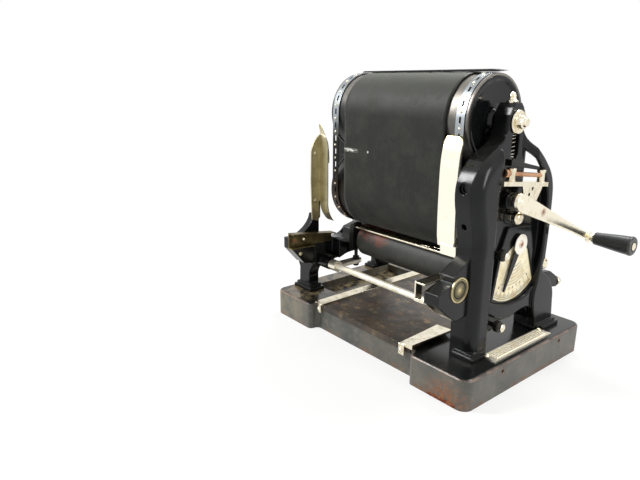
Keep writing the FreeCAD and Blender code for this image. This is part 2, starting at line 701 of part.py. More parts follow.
def gear(teeth, module, x, width, y, z, start, bore):
    """Straight-flanked spur teeth with backlash, on a disc with a bore."""
    pitch_r = teeth * module / 2
    tip, root = pitch_r + 0.9 * module, pitch_r - 1.15 * module
    step = 2 * math.pi / teeth
    spread = ((root, 0.30), (pitch_r, 0.215), (tip, 0.11))
    points = []
    for number in range(teeth):
        centre = start + number * step
        for r, share in spread:
            points.append((r, centre - share * step))
        for r, share in reversed(spread):
            points.append((r, centre + share * step))
    ring = [Vector(x, y + r * math.cos(a), z + r * math.sin(a)) for r, a in points]
    face = Part.Face(Part.makePolygon(ring + [ring[0]]))
    solid = face.extrude(Vector(width, 0, 0))
    hole = Part.makeCylinder(bore, width + 2, Vector(x - 1, y, z), Vector(1, 0, 0))
    item = doc.addObject("Part::Feature", unique("gear"))
    item.Shape = solid.cut(hole)
    return item


def add_cylinders():
    """Both drums, the driven lower shaft, the upper shaft in its sliding blocks."""
    cylinder("lower", LOWER_Z)
    cylinder("upper", UPPER_Z)
    radius = size("shaft_radius")
    module = size("tooth_module")
    pinion, wheel = int(size("pinion_teeth")), int(size("wheel_teeth"))
    crank_y, crank_z = size("crank_y"), size("crank_z")
    line = math.atan2(crank_z - LZ, crank_y - Y0)

    lower = join(
        rod("X", -178, AXIS_Y, LOWER_Z, "Sizes.shaft_radius", 345),
        turned("X", -186, AXIS_Y, LOWER_Z, [(0, 0), (0, 5), (2, 9), (8, 9), (8, 0)]),
        turned("X", 162, AXIS_Y, LOWER_Z, [(0, 0), (0, 6.4), (6, 6.4), (7, 8.6), (12.5, 8.6),
               ("arc", (15.8, 6.6), (16.8, 3)), (16.8, 0)]),
    )
    node("lower_shaft", lower)
    node("lower_gear", gear(pinion, module, 140.5, 8, Y0, LZ, line, radius))
    node("crank_gear", gear(wheel, module, 140.5, 8, crank_y, crank_z,
                            line + math.pi + math.pi / wheel, radius))

    upper = join(
        rod("X", -178, AXIS_Y, UPPER_Z, "Sizes.shaft_radius", 344),
        turned("X", 160.5, AXIS_Y, UPPER_Z, [(0, 0), (0, 14.5), (1.5, 15), (3, 14), (3, 9), (5, 8.5),
               (9, 8), (10, 6), (13, 5), (13, 0)]),
        turned("X", -185.5, AXIS_Y, UPPER_Z, [(0, 0), (0, 5), (3, 8), (8, 8.5), (10, 14),
               (11.5, 15), (13, 14.5), (13, 0)]),
    )
    node("upper_shaft", upper)
    clear = 0.25
    blocks = []
    for side, start in (("right", 140), ("left", -172.5)):
        length = 20.5 if side == "right" else 23
        block = box(start, Y0 - 8 + clear, 333, length, 16 - 2 * clear, 22)
        bore = rod("X", start - 1, AXIS_Y, UPPER_Z, "Sizes.shaft_radius", length + 2)
        blocks.append(cut(block, bore))
    node("bearing_blocks", group(*blocks))

    bushes = []
    for x, length, y, z in (
        (149, 12, AXIS_Y, LOWER_Z), (-173, 21, AXIS_Y, LOWER_Z),
        (149, 12, "Sizes.crank_y", "Sizes.crank_z"),
    ):
        tube = rod("X", x, y, z, 10, length)
        hole = rod("X", x - 1, y, z, "Sizes.shaft_radius + Sizes.running_gap", length + 2)
        bushes.append(cut(tube, hole))
    node("bearing_bushes", group(*bushes))

    cap_points = [(0, 0), (0, 7), (2, 7.5), (4, 5), (7, 4), (8, 4.6), (12, 3), (13.5, 0)]
    cups = [turned("Z", x, AXIS_Y, 367 if x > 0 else 366, cap_points) for x in (150, -162)]
    node("oil_cups", group(*cups))


def biarc(start, leave, end, arrive):
    """Two tangent arcs from start to end, with the directions at both ends given."""
    span = end - start
    both = leave + arrive
    a, b, c = both.dot(both) - 4, -2 * span.dot(both), span.dot(span)
    reach = (-b - math.sqrt(b * b - 4 * a * c)) / (2 * a)
    if reach < 0:
        reach = (-b + math.sqrt(b * b - 4 * a * c)) / (2 * a)
    corner_a, corner_b = start + leave * reach, end - arrive * reach
    middle = (corner_a + corner_b) * 0.5
    return [arc_round(start, corner_a, middle), arc_round(middle, corner_b, end)]


def arc_round(start, corner, end):
    """The arc that is tangent to start-corner and corner-end."""
    chord = (start + end) * 0.5 - corner
    reach = start.distanceToPoint(corner)
    half = math.acos(chord.Length / reach)
    top = reach / math.cos(half) - reach * math.tan(half)
    through = corner + chord.normalize() * top
    return Part.Arc(start, through, end).toShape()


def spring(name, x, y, low, high):
    """One unbroken wire wound up the Z axis, with a short straight leg at each end."""
    radius, wire, turns = size("spring_radius"), size("spring_wire"), int(size("spring_turns"))
    leg, bend = wire, wire
    pitch = (high - low - 2 * (leg + bend)) / turns
    slope = math.atan2(pitch, 2 * math.pi * radius)

    def at(turn):
        angle = 2 * math.pi * turn
        point = Vector(x + radius * math.cos(angle), y + radius * math.sin(angle),
                       low + leg + bend + pitch * turn)
        heading = Vector(-math.sin(angle) * math.cos(slope), math.cos(angle) * math.cos(slope),
                         math.sin(slope))
        return point, heading

    up = Vector(0, 0, 1)

    def leg_edges(point, heading, sign):
        """The bend and the straight leg below the first turn, or above the last one."""
        opening = math.acos(heading.dot(up))
        reach = bend * math.tan(opening / 2)
        corner = point - heading * (sign * reach)
        knee = corner - up * (sign * reach)
        tip = Vector(knee.x, knee.y, low if sign > 0 else high)
        if sign > 0:
            return [Part.LineSegment(tip, knee).toShape(), arc_round(knee, corner, point)]
        return [arc_round(point, corner, knee), Part.LineSegment(knee, tip).toShape()]

    first, last = at(0), at(turns)
    edges = leg_edges(*first, 1)
    quarters = 4 * turns
    for number in range(quarters):
        begin, finish = at(number / 4), at((number + 1) / 4)
        edges += biarc(begin[0], begin[1], finish[0], finish[1])
    edges += leg_edges(*last, -1)
    path = Part.Wire(edges)
    start = path.OrderedVertexes[0].Point
    section = Part.Wire(Part.makeCircle(wire / 2, start, up))
    shell = Part.BRepOffsetAPI.MakePipeShell(path)
    shell.add(section)
    shell.build()
    shell.makeSolid()
    item = doc.addObject("Part::Feature", unique("spring"))
    item.Shape = shell.shape()
    node(name, item)

    samples = path.discretize(Distance=0.4)
    near = 3 * wire
    gap = min(
        samples[i].distanceToPoint(samples[j]) - wire
        for i in range(len(samples)) for j in range(i + int(near / 0.4) + 4, len(samples))
    )
    print(f"{name}: {turns} turns, least gap to itself {gap:.2f} mm,"
          f" volume {item.Shape.Volume:.1f} against {math.pi * wire ** 2 / 4 * path.Length:.1f} mm3")


def add_springs():
    """The springs under the upper shaft's blocks, which keep the belt tight."""
    spring("right_tension_spring", 152.5, Y0, 297.2, 332.9)
    spring("left_tension_spring", -161, Y0, 297.2, 332.9)


# The impression roller and what lifts it

def add_roller():
    """The rubber roller, its shaft in two lifting blocks, and the rocker rod."""
    z = size("roller_z")
    half = size("roller_width") / 2
    sleeve = turned("X", 0, AXIS_Y, "Sizes.roller_z", [(-half, 12), (-half, 27), (-half + 1, 28),
                    (half - 1, 28), (half, 27), (half, 12)])
    node("roller_sleeve", sleeve)
    core = turned("X", 0, AXIS_Y, "Sizes.roller_z", [(-half - 1, 5.05), (-half - 1, 12), (half + 1, 12),
                  (half + 1, 5.05)])
    node("roller_core", core)
    node("roller_shaft", rod("X", -158, AXIS_Y, "Sizes.roller_z", 5, 314))

    side_path = [(-50, z - 16), (-50, z + 12), (-48, z + 26), (-32, z + 29), (-30, z + 24), (-36, z + 17),
                 (-26, z + 14), (-10, z + 12), (-8, z - 10), (-14, z - 16)]
    blocks, screws, levers = [], [], []
    for side in (1, -1):
        start = 104 if side > 0 else -113
        body = plate("YZ", start, 9, side_path)
        bore = rod("X", start - 1, AXIS_Y, "Sizes.roller_z", 5, 11)
        blocks.append(cut(body, bore))
        x = side * 108.5
        screws.append(join(
            rod("Z", x, -38, 91, 3, z - 16 - 91),
            turned("Z", x, -38, 102.6, [(0, 0), (0, 5.5), (3.5, 5.5), (3.5, 0)]),
            turned("Z", x, -38, 89.6, [(0, 0), (0, 4.5), (4, 5.5), (4.6, 5.5), (4.6, 0)]),
        ))
        arm_plan = [(x - 8, -76), (x - 8, -40), ("arc", (x, -28), (x + 8, -40)), (x + 8, -76)]
        arm = plate("XY", 95.5, 5.8, arm_plan)
        hub = rod("X", x - 8, "Sizes.rocker_y", "Sizes.rocker_z", 9, 16)
        eye = join(rod("Z", x, -40, 90, 4, 20), rod("Z", x, -36, 90, 4, 20), box(x - 4, -40, 90, 8, 4, 20))
        shaft_hole = rod("X", x - 9, "Sizes.rocker_y", "Sizes.rocker_z", 5, 18)
        levers.append(cut(join(arm, hub), eye, shaft_hole))
    node("right_roller_block", blocks[0])
    node("left_roller_block", blocks[1])
    node("lift_screws", group(*screws))
    node("lift_levers", group(*levers))
    node("rocker_rod", rod("X", -145, "Sizes.rocker_y", "Sizes.rocker_z", 5, 288))

    # The thin bar that strips the paper off the belt, between lugs of the two blocks.
    bar = [(-46, 158), (-45.4, 160), ("curve", [(-40, 161.5), (-34, 162.4)]), (-34, 160.6),
           ("curve", [(-40, 159.6), (-44, 158)])]
    slots = [box(36, -44, 150, 16, 2.2, 20), box(58, -41, 150, 14, 2.2, 20)]
    node("stripper_bar", cut(plate("YZ", -104, 208, bar), *slots))


# The crank and the linkage above it

def add_crank():
    """Crank shaft, tapered arm, spindle and free-turning grip."""
    crank_y, crank_z = size("crank_y"), size("crank_z")
    grip_y, grip_z = size("grip_y"), size("grip_z")
    shaft = join(
        rod("X", 139, "Sizes.crank_y", "Sizes.crank_z", "Sizes.shaft_radius", 30),
        turned("X", 161.5, "Sizes.crank_y", "Sizes.crank_z",
               [(0, 0), (0, 11), (8, 11), (9, 9), (12, 9), (12, 0)]),
    )
    node("crank_shaft", shaft)

    hub = turned("X", 173.5, "Sizes.crank_y", "Sizes.crank_z",
                 [(0, 0), (0, 11), (2, 11.8), (8, 11.8), (12, 11), (12.5, 10), (12.5, 6), (11.6, 5),
                  (12.5, 4), (12.5, 0)])
    sections = []
    reach = Vector(0, grip_y - crank_y, grip_z - crank_z)
    ahead = Vector(reach).normalize()
    for share, x, wide, thick in ((0.0, 182.7, 24, 6.6), (0.28, 185.8, 19, 6.6), (0.62, 189, 13, 6.6),
                                  (1.0, 192.5, 10, 6.4)):
        centre = Vector(x, crank_y, crank_z) + reach * share
        across = ahead.cross(Vector(1, 0, 0)).normalize()
        out = Vector(1, 0, 0)
        ring = []
        corners = 16
        for number in range(corners):
            angle = 2 * math.pi * (number + 0.5) / corners
            flat = [math.copysign(abs(value) ** 0.5, value) for value in (math.cos(angle), math.sin(angle))]
            ring.append(centre + across * (flat[0] * wide / 2) + out * (flat[1] * thick / 2))
        curve = Part.BSplineCurve()
        curve.interpolate(ring, PeriodicFlag=True)
        sections.append(Part.Wire(curve.toShape()))
    loft = doc.addObject("Part::Feature", "arm_blade")
    loft.Shape = Part.makeLoft(sections, True, False)
    eye = turned("X", 189, "Sizes.grip_y", "Sizes.grip_z", [(0, 0), (0, 6), (1, 6.6), (3.4, 8), (4.6, 8.4),
                 (5.6, 8), (6.4, 4.8), (9.5, 4.8), (10.5, 7.2), (12.4, 7.2), (13, 6), (13, 0)])
    node("crank_arm", join(loft, hub, eye))

    spindle = turned("X", 202, "Sizes.grip_y", "Sizes.grip_z",
                     [(0, 0), (0, 4), (52.6, 4), (52.6, 5.6), (54, 5.4), (54.8, 3.6), (54.8, 0)])
    node("grip_spindle", spindle)
    grip = turned("X", 202.3, "Sizes.grip_y", "Sizes.grip_z",
                  [(0, 4.05), (0, 8.2), (1, 9), ("curve", [(14, 10.2), (34, 12.2), (48, 13.2)]),
                   ("arc", (52, 13), (53, 12)), (53, 8), (52, 7), (52, 4.05)])
    node("crank_grip", grip)


def add_linkage():
    """The adjusting linkage above the crank, and the knobs on the right frame."""
    web = size("frame_web")
    frame = finished("right_side_frame")
    link_bar = plate("YZ", web, 9, [(-36, 292), (-36, 300), (38, 283), (38, 279)])
    shelf = join(
        plate("YZ", web, 16.6, [(-59.8, 273.6), (-59.8, 276.2), (42, 264), (42, 261.4)]),
        plate("YZ", web + 14, 2.6, [(-59.8, 270.6), (-59.8, 276.2), (42, 264), (42, 258.4)]),
    )
    posts = [
        turned("Z", 170.6, -38, 273, [(0, 0), (0, 6), (2, 6), (2, 5.2), (13, 5.2), (13, 6), (17, 6),
               (18, 0)]),
        turned("Z", 170.6, 32, 264, [(0, 0), (0, 5.8), (2, 5.8), (2, 4.8), (14, 4.8), (14, 5.8), (17, 5.8),
               (18.5, 0)]),
    ]
    tilt_bore = rod("Y", 171, -60, 0, 3.0, 120)
    slope = math.degrees(math.atan2(-9, 67))
    tilt_bore.Placement = Placement(Vector(171, -60, 286), Rotation(Vector(1, 0, 0), -90 + slope))
    screw = turned("Y", 0, 0, 0, [(0, 0), (0, 5.2), (5, 5.2), (5.4, 2.9), (88, 2.9), (88, 0)])
    screw.Placement = Placement(
        Vector(171, -60, 286) + Rotation(Vector(1, 0, 0), slope).multVec(Vector(0, 6.5, 0)),
        Rotation(Vector(1, 0, 0), slope).multiply(Rotation(Vector(0, 0, 1), 90)))
    node("adjuster_screw", screw)
    tab = cut(
        plate("YZ", web + 14.6, 2, [(-20, 270), (30, 264), (26, 256), (16, 241), (2, 236), (-13, 250)]),
        rod("X", web + 13, 5, 260, 2.4, 6), rod("X", web + 13, -2, 253, 2.4, 6),
    )
    shelf = cut(join(shelf, tab), frame)
    node("link_shelf", shelf)
    node("link_posts", cut(group(*posts), tilt_bore, shelf, link_bar, frame))

    knob = [(0, 0), (0, 3), (8, 3), (8, 7.5), (10, 8), (15, 8), (15, 5.6), (20, 5.6), (21, 3), (21, 0)]
    node("dial_clamp_knob", turned("X", web, -42, 178, knob))
    node("lower_clamp_knob", turned("X", web + 1, -38, 78, knob))
    arm = cut(
        plate("YZ", 160, 9, [(64, 129), (76, 129), (90, 127), (114, 112), (114, 103), (112, 98), (96, 101),
                             (70, 114)]),
        rod("Y", 164.5, 95, 104.5, 3.05, 25),
    )
    node("frame_arms", cut(group(link_bar, arm), frame))
    cap = turned("Y", 163, 59, 142.5, [(0, 0), (0, 5), (5, 5), (7, 8.5), (9, 10), (14, 10), (18, 8), (19.5, 4),
                 (19.5, 0)])
    node("rear_stop_cap", cut(cap, frame))
    thumb = turned("Y", 164.5, 104, 104.5, [(0, 0), (0, 3), (10.5, 3), (10.5, 6.5), (11.5, 7),
                   (15.5, 7), (16.5, 5), (19.5, 5), (19.5, 0)])
    node("rear_thumb_screw", thumb)


def add_screws():
    """Round-headed screws and bolts, each kind as one group."""
    head = [(0, 0), (0, 3.6), (0.8, 3.5), (2, 2.2), (2.4, 0)]
    front = Rotation(Vector(0, 0, 1), -90)
    right = Rotation()
    spots = [
        (-98.5, -127, 36, front), (84.5, -129.5, 37, front), (-137, -134, 122, right),
        (-135.2, -104.6, 282, right), (-135.2, -104.3, 207, right), (-135, -128, 146, right),
    ]
    screws = []
    for x, y, z, turn in spots:
        item = turned("X", 0, 0, 0, head)
        item.Placement = Placement(Vector(x, y, z), turn)
        screws.append(item)
    for y in (-63.3, 62.3):
        screws.append(turned("Z", 176.5, y, BASE_TOP + 2, head))
    node("fixing_screws", group(*screws))


def write_parts():
    """Check every object, then write one file for each sub-part."""
    doc.recompute()
    failed = [item for item in doc.Objects if {"Invalid", "Error"} & set(item.State)]
    if failed:
        raise RuntimeError("not built: " + ", ".join(item.Label for item in failed))
    os.makedirs("parts", exist_ok=True)
    for item in NODES:
        shape = item.Shape
        if shape.isNull() or not shape.isValid() or not shape.Solids:
            raise RuntimeError(f"{item.Label} is not a valid solid")
        shape.exportStep(f"parts/{item.Label}.step")
        print(f"{item.Label}: {len(shape.Solids)} solids, {shape.Volume:.0f} mm3")
    print(f"{len(NODES)} sub-parts written")


add_base()
add_table()
add_right_frame()
add_left_frame()
add_brackets()
add_feed_ledges()
add_edge_guards()
add_dial()
add_belt()
add_cylinders()
add_springs()
add_roller()
add_crank()
add_linkage()
add_screws()
write_parts()
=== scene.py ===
# %% [markdown]
# A hand-cranked rotary stencil duplicator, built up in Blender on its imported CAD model.
# The machine is black baked japan over cast iron, warm old nickel plate, a charcoal ink
# belt and a rusty base. The CAD parts keep their shapes and get real finishes here, and
# what is soft, wound or printed is made as new surfaces worked out with numpy.

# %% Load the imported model
import math

import bpy
import numpy as np
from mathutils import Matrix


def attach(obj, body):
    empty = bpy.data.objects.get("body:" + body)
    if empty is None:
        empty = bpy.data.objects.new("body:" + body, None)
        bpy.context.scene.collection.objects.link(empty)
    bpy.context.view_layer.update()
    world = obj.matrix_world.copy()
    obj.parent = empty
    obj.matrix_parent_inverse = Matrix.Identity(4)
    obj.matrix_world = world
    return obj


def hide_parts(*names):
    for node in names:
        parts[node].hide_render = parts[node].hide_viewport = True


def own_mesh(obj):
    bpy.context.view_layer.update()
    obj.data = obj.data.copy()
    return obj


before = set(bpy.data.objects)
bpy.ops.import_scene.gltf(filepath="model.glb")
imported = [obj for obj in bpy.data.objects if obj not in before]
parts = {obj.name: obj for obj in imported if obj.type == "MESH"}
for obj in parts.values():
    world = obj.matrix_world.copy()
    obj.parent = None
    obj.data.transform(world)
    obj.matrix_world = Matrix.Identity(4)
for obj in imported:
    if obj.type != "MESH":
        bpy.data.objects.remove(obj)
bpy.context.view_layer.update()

# %% [markdown]
# Lengths are written in millimetres and turned to metres in one place. Colours are
# written as sRGB hex, the way a paint sample is read off a screen, and one function
# turns them to the linear values that the renderer works in.

# %% Units and colours
MM = 0.001


def linear(code):
    """sRGB hex to linear RGBA: c/12.92 below 0.04045, else ((c + 0.055)/1.055)^2.4."""
    c = np.array([int(code[k:k + 2], 16) for k in (1, 3, 5)]) / 255.0
    c = np.where(c <= 0.04045, c / 12.92, ((c + 0.055) / 1.055) ** 2.4)
    return (*c.tolist(), 1.0)


def per(millimetres):
    """Texture scale whose pattern repeats about every so many real millimetres."""
    return 1000.0 / millimetres


# %% [markdown]
# A material is a small graph. One helper adds a node, sets its values and makes its
# links, so each finish below reads as a list of what light meets on the way in.

# %% Helpers for material nodes
def start(name):
    """A fresh node material: itself, its tree, its shader and the object coordinates."""
    mat = bpy.data.materials.new(name)
    mat.use_nodes = True
    tree = mat.node_tree
    return mat, tree, tree.nodes["Principled BSDF"], add(tree, "TexCoord").outputs["Object"]


def feed(item, inputs):
    """Give a node its inputs: a socket is linked, anything else is set as a value."""
    for key, value in inputs.items():
        if isinstance(value, bpy.types.NodeSocket):
            item.id_data.links.new(value, item.inputs[key])
        else:
            item.inputs[key].default_value = value


def add(tree, kind, inputs=None, **settings):
    """Add one node: settings are attributes; inputs are values or sockets to link."""
    item = tree.nodes.new("ShaderNode" + kind)
    for key, value in settings.items():
        setattr(item, key, value)
    feed(item, inputs or {})
    return item


def sums(tree, operation, *values, clamp=False):
    """A number worked out from numbers or sockets."""
    item = add(tree, "Math", {n: v for n, v in enumerate(values)}, operation=operation)
    item.use_clamp = clamp
    return item.outputs[0]


def times(tree, first, second, clamp=False):
    """The product of two numbers or sockets."""
    return sums(tree, "MULTIPLY", first, second, clamp=clamp)


def remap(tree, value, low, high, to_low=0.0, to_high=1.0):
    """Carry low to to_low and high to to_high in a straight line, flat outside them."""
    return add(tree, "MapRange", {"Value": value, "From Min": low, "From Max": high,
                                  "To Min": to_low, "To Max": to_high}).outputs[0]


def noise(tree, place, size_mm, detail=2.0, rough=0.5):
    """Cloud noise of a real size."""
    return add(tree, "TexNoise", {"Vector": place, "Scale": per(size_mm), "Detail": detail,
                                  "Roughness": rough}).outputs[0]


def component(tree, vector, axis):
    """One of the three numbers of a vector."""
    return add(tree, "SeparateXYZ", {0: vector}).outputs[axis]


def blend(tree, factor, first, second):
    """Mix two colours; each may be a socket or a hex code."""
    first, second = (linear(tone) if isinstance(tone, str) else tone for tone in (first, second))
    item = add(tree, "Mix", {"Factor": factor}, data_type="RGBA")
    feed(item, {6: first, 7: second})
    return item.outputs[2]


def tint(tree, tone, mask, colour, share=1.0):
    """Lay a colour over a tone where the mask is 1, at a share of its full strength."""
    return blend(tree, times(tree, mask, share), tone, colour)


print("helpers ready")

# %% [markdown]
# Old japan is worn first where hands and tools touch: along the edges. A Bevel node
# bends the normal near an edge, so the angle between it and the true normal is a mask
# of the edges. A bent normal also gives the castings their softly rounded rims.

# %% Edges and patches that several finishes share
def facing(tree):
    """The true normal of the surface."""
    return add(tree, "NewGeometry").outputs["Normal"]


def rounded(tree, radius_mm, samples=4):
    """The normal bent as if every edge were rounded by a radius."""
    return add(tree, "Bevel", {"Radius": radius_mm * MM}, samples=samples).outputs["Normal"]


def edge_mask(tree, bent):
    """1 where the bent normal turns well away from the true one."""
    meet = add(tree, "VectorMath", {0: facing(tree), 1: bent}, operation="DOT_PRODUCT")
    return remap(tree, meet.outputs["Value"], 0.995, 0.86)


def upward(tree):
    """1 on a level top, 0 on walls and undersides."""
    return sums(tree, "MAXIMUM", component(tree, facing(tree), "Z"), 0.0)


def patches(tree, place, size_mm, low, high, detail=5.0, rough=0.6, stretch=None):
    """Cloudy patches of a real size, as 0 below low and 1 above high."""
    if stretch:
        place = add(tree, "Mapping", {"Vector": place, "Scale": stretch}).outputs[0]
    return remap(tree, noise(tree, place, size_mm, detail, rough), low, high)


def height_band(tree, place, low_mm, high_mm):
    """1 below the low level, 0 above the high one."""
    return remap(tree, component(tree, place, "Z"), high_mm * MM, low_mm * MM)


def near(tree, place, point_mm, radius_mm):
    """1 at a point of the part, falling to 0 at the radius, ragged by fine noise."""
    away = add(tree, "VectorMath", {0: place, 1: [p * MM for p in point_mm]},
               operation="DISTANCE").outputs["Value"]
    wide = sums(tree, "MULTIPLY_ADD", noise(tree, place, 6), radius_mm * MM, radius_mm * 0.5 * MM)
    return sums(tree, "SUBTRACT", 1.15, sums(tree, "DIVIDE", away, wide), clamp=True)


def bumps(tree, height, normal, distance_mm, strength):
    """A bump of a real height on top of a normal."""
    return add(tree, "Bump", {"Height": height, "Normal": normal, "Strength": strength,
                              "Distance": distance_mm * MM}).outputs[0]


print("masks ready")

# %% [markdown]
# Baked japan is asphalt varnish, flowed on iron and stoved. It is almost black, deep and
# glossy with a faint orange peel, and where it has been rubbed through, brown iron shows.
# Asphalt is a weak mirror, so its specular level is set under the usual half: the lamps
# still draw sharp lines on it, and the pale floor does not turn it grey. The castings'
# edges are generously rounded, so the bent normal is wide.

# %% Baked black japan on the frames
def baked_japan(name, deep, lift, worn, gloss, wear, dust, mirror, round_mm):
    """Black stoved varnish: deep and lift are its tones, wear is how far edges show."""
    mat, tree, shader, place = start(name)
    tone = blend(tree, patches(tree, place, 40, 0.35, 0.7), deep, lift)
    rubbed = times(tree, patches(tree, place, 9, 0.60 - wear * 0.18, 0.72),
                   edge_mask(tree, rounded(tree, 0.9)), clamp=True)
    tone = tint(tree, tone, rubbed, worn, wear)
    settled = times(tree, times(tree, upward(tree), dust), patches(tree, place, 15, 0.2, 0.8), clamp=True)
    tone = tint(tree, tone, settled, "#8a8478")
    sheen = remap(tree, patches(tree, place, 22, 0.3, 0.75), 0, 1, gloss, gloss + 0.16)
    peel = noise(tree, place, 2.2)
    feed(shader, {"Base Color": tone, "Specular IOR Level": mirror,
                  "Roughness": sums(tree, "MULTIPLY_ADD", rubbed, 0.35, sheen),
                  "Normal": bumps(tree, peel, rounded(tree, round_mm, 6), 0.05, 0.5)})
    return mat


frame_japan = baked_japan("baked_japan_gloss", "#08090a", "#121314", "#5c4a3c", 0.09, 0.5, 0.05, 0.28, 3.0)
satin_japan = baked_japan("baked_japan_satin", "#111212", "#20201e", "#6b5643", 0.26, 0.8, 0.10, 0.25, 1.2)
print(frame_japan.name, satin_japan.name)

# %% [markdown]
# The base has had a harder life. Its top is still fairly glossy; its walls are grey and
# brown, partly from handling and partly as a painted reflection of the pale floor. The
# rounded rim is rubbed to pinkish primer, and rust creeps up from where it stood on damp
# benches. Height and slope steer the mixture.

# %% The worn base
RIM_LEVEL = 41.5
SIDE_HOLES = ((202, -63, 33), (202, 76, 33))
RUSTY_CORNER = (168, -138, 0)


def worn_base(name):
    """Japan that is dark above, mottled grey-brown on the sides and rusty at the foot; the sides' grey is
    partly wear and partly a painted reflection of the pale floor.

    The left end, away from the crank, is the most worn, and its top has gone brown too.
    """
    mat, tree, shader, place = start(name)
    level = sums(tree, "ABSOLUTE", component(tree, facing(tree), "Z"))
    side = sums(tree, "SUBTRACT", 1.0, level, clamp=True)
    # Painted reflection in part: walls get a grey that is partly wear and partly stands for the pale floor
    # mirrored in the japan; level tops stay dark.
    grey = blend(tree, patches(tree, place, 55, 0.36, 0.66, stretch=(1, 1, 0.55)), "#474843", "#66635a")
    fine = patches(tree, place, 11, 0.50, 0.74)
    grey = tint(tree, grey, fine, "#80786a", 0.5)
    grey = tint(tree, grey, patches(tree, place, 30, 0.58, 0.72), "#3a4544", 0.5)
    grey = tint(tree, grey, patches(tree, place, 26, 0.60, 0.72), "#8b6d5d", 0.55)
    top = blend(tree, patches(tree, place, 35, 0.45, 0.7), "#131414", "#26241f")
    left_end = remap(tree, component(tree, place, "X"), -112 * MM, -150 * MM)
    thin = times(tree, left_end, patches(tree, place, 16, 0.40, 0.58), clamp=True)
    top = tint(tree, top, thin, "#75684f")
    grey = tint(tree, grey, thin, "#8f8468", 0.4)
    tone = blend(tree, side, top, grey)
    from_rim = sums(tree, "SUBTRACT", component(tree, place, "Z"), RIM_LEVEL * MM)
    shoulder = remap(tree, sums(tree, "ABSOLUTE", from_rim), 2.2 * MM, 0.4 * MM)
    slant = times(tree, side, sums(tree, "SUBTRACT", 1.0, side))
    rim = times(tree, times(tree, slant, 4.0, clamp=True), shoulder)
    rim = times(tree, rim, patches(tree, place, 18, 0.34, 0.62), clamp=True)
    tone = tint(tree, tone, rim, "#8f7768")
    foot = times(tree, height_band(tree, place, 1, 9), patches(tree, place, 7, 0.40, 0.62), clamp=True)
    foot = times(tree, foot, patches(tree, place, 60, 0.44, 0.60))
    corner = times(tree, near(tree, place, RUSTY_CORNER, 34), patches(tree, place, 6, 0.36, 0.5))
    foot = sums(tree, "MAXIMUM", foot, corner)
    for hole in SIDE_HOLES:
        foot = sums(tree, "MAXIMUM", foot, times(tree, near(tree, place, hole, 5), 0.7))
    spots = times(tree, patches(tree, place, 13, 0.66, 0.76), side)
    rusty = sums(tree, "MAXIMUM", foot, times(tree, spots, 0.6), clamp=True)
    rust_tone = blend(tree, patches(tree, place, 3, 0.3, 0.7), "#5a3a26", "#a26b45")
    sheen = sums(tree, "MULTIPLY_ADD", side, 0.22, 0.17)
    sheen = sums(tree, "MULTIPLY_ADD", rusty, 0.4, sheen)
    sheen = sums(tree, "MULTIPLY_ADD", fine, 0.10, sheen)
    grain = sums(tree, "MULTIPLY_ADD", rusty, 1.5, noise(tree, place, 1.8, 4.0))
    feed(shader, {"Base Color": blend(tree, rusty, tone, rust_tone), "Roughness": sheen,
                  "Normal": bumps(tree, grain, rounded(tree, 1.6), 0.18, 0.5)})
    return mat


base_japan = worn_base("worn_japan_on_iron")
print(base_japan.name)

# %% [markdown]
# The feed table is sheet steel whose black has gone brown. Sheets of paper have rubbed
# it bare in clouds, and pin-point rust lies over it. It is no longer shiny like the
# frames, so its roughness is high and its bump is made of small pits.

# %% Browned sheet steel
def browned_steel(name):
    """Thin black over steel, cloudy brown with rust points a few millimetres across."""
    mat, tree, shader, place = start(name)
    soft = rounded(tree, 0.5)
    tone = blend(tree, patches(tree, place, 45, 0.36, 0.64), "#1f1c18", "#44382b")
    tone = tint(tree, tone, patches(tree, place, 16, 0.54, 0.68, rough=0.75), "#8d7a54", 0.75)
    tone = tint(tree, tone, patches(tree, place, 30, 0.60, 0.70, rough=0.75), "#8a5a3f", 0.8)
    tone = tint(tree, tone, patches(tree, place, 4, 0.62, 0.70, detail=3.0), "#6e452b", 0.7)
    rubbed = times(tree, edge_mask(tree, soft), patches(tree, place, 8, 0.35, 0.6), clamp=True)
    tone = tint(tree, tone, rubbed, "#8d5a3c")
    sheen = remap(tree, patches(tree, place, 20, 0.3, 0.7), 0, 1, 0.34, 0.60)
    feed(shader, {"Base Color": tone, "Roughness": sheen,
                  "Normal": bumps(tree, noise(tree, place, 1.5, 5.0), soft, 0.12, 0.6)})
    return mat


table_steel = browned_steel("browned_sheet_steel")
print(table_steel.name)

# %% [markdown]
# Nickel plate of this age is a warm, creamy metal. It is bright where it is rubbed and
# brassy or olive where it is not, with brown freckles where the plate has let go of the
# steel. It is a metal, so its colour is the colour of its reflection.

# %% Old nickel plate
def nickel_plate(name, bright, dull, share, rough, freckle, spot=None, tarnish=None):
    """Nickel: share is how much of it has dulled, freckle how many rust points.

    Spot is (point, radius) of a rusted place. Tarnish is (from, to, colour): from one
    height to another the plate turns that colour.
    """
    mat, tree, shader, place = start(name)
    film = patches(tree, place, 16, 0.62 - share * 0.4, 0.86 - share * 0.36)
    film = times(tree, film, min(1.0, 0.35 + share))
    tone = blend(tree, film, bright, dull)
    if tarnish:
        low, high, colour = tarnish
        tone = tint(tree, tone, remap(tree, component(tree, place, "Z"), low * MM, high * MM), colour)
    points = patches(tree, place, 3.2, 0.74 - freckle * 0.12, 0.80 - freckle * 0.08, detail=3.0)
    if spot:
        points = sums(tree, "MAXIMUM", points, near(tree, place, *spot))
    sheen = sums(tree, "MULTIPLY_ADD", film, 0.14, rough)
    feed(shader, {"Base Color": tint(tree, tone, points, "#8a5230"),
                  "Metallic": sums(tree, "MULTIPLY_ADD", points, -0.8, 1.0),
                  "Roughness": sums(tree, "MULTIPLY_ADD", points, 0.35, sheen),
                  "Normal": bumps(tree, noise(tree, place, 0.9, 3.0), rounded(tree, 0.5), 0.03, 0.35)})
    return mat


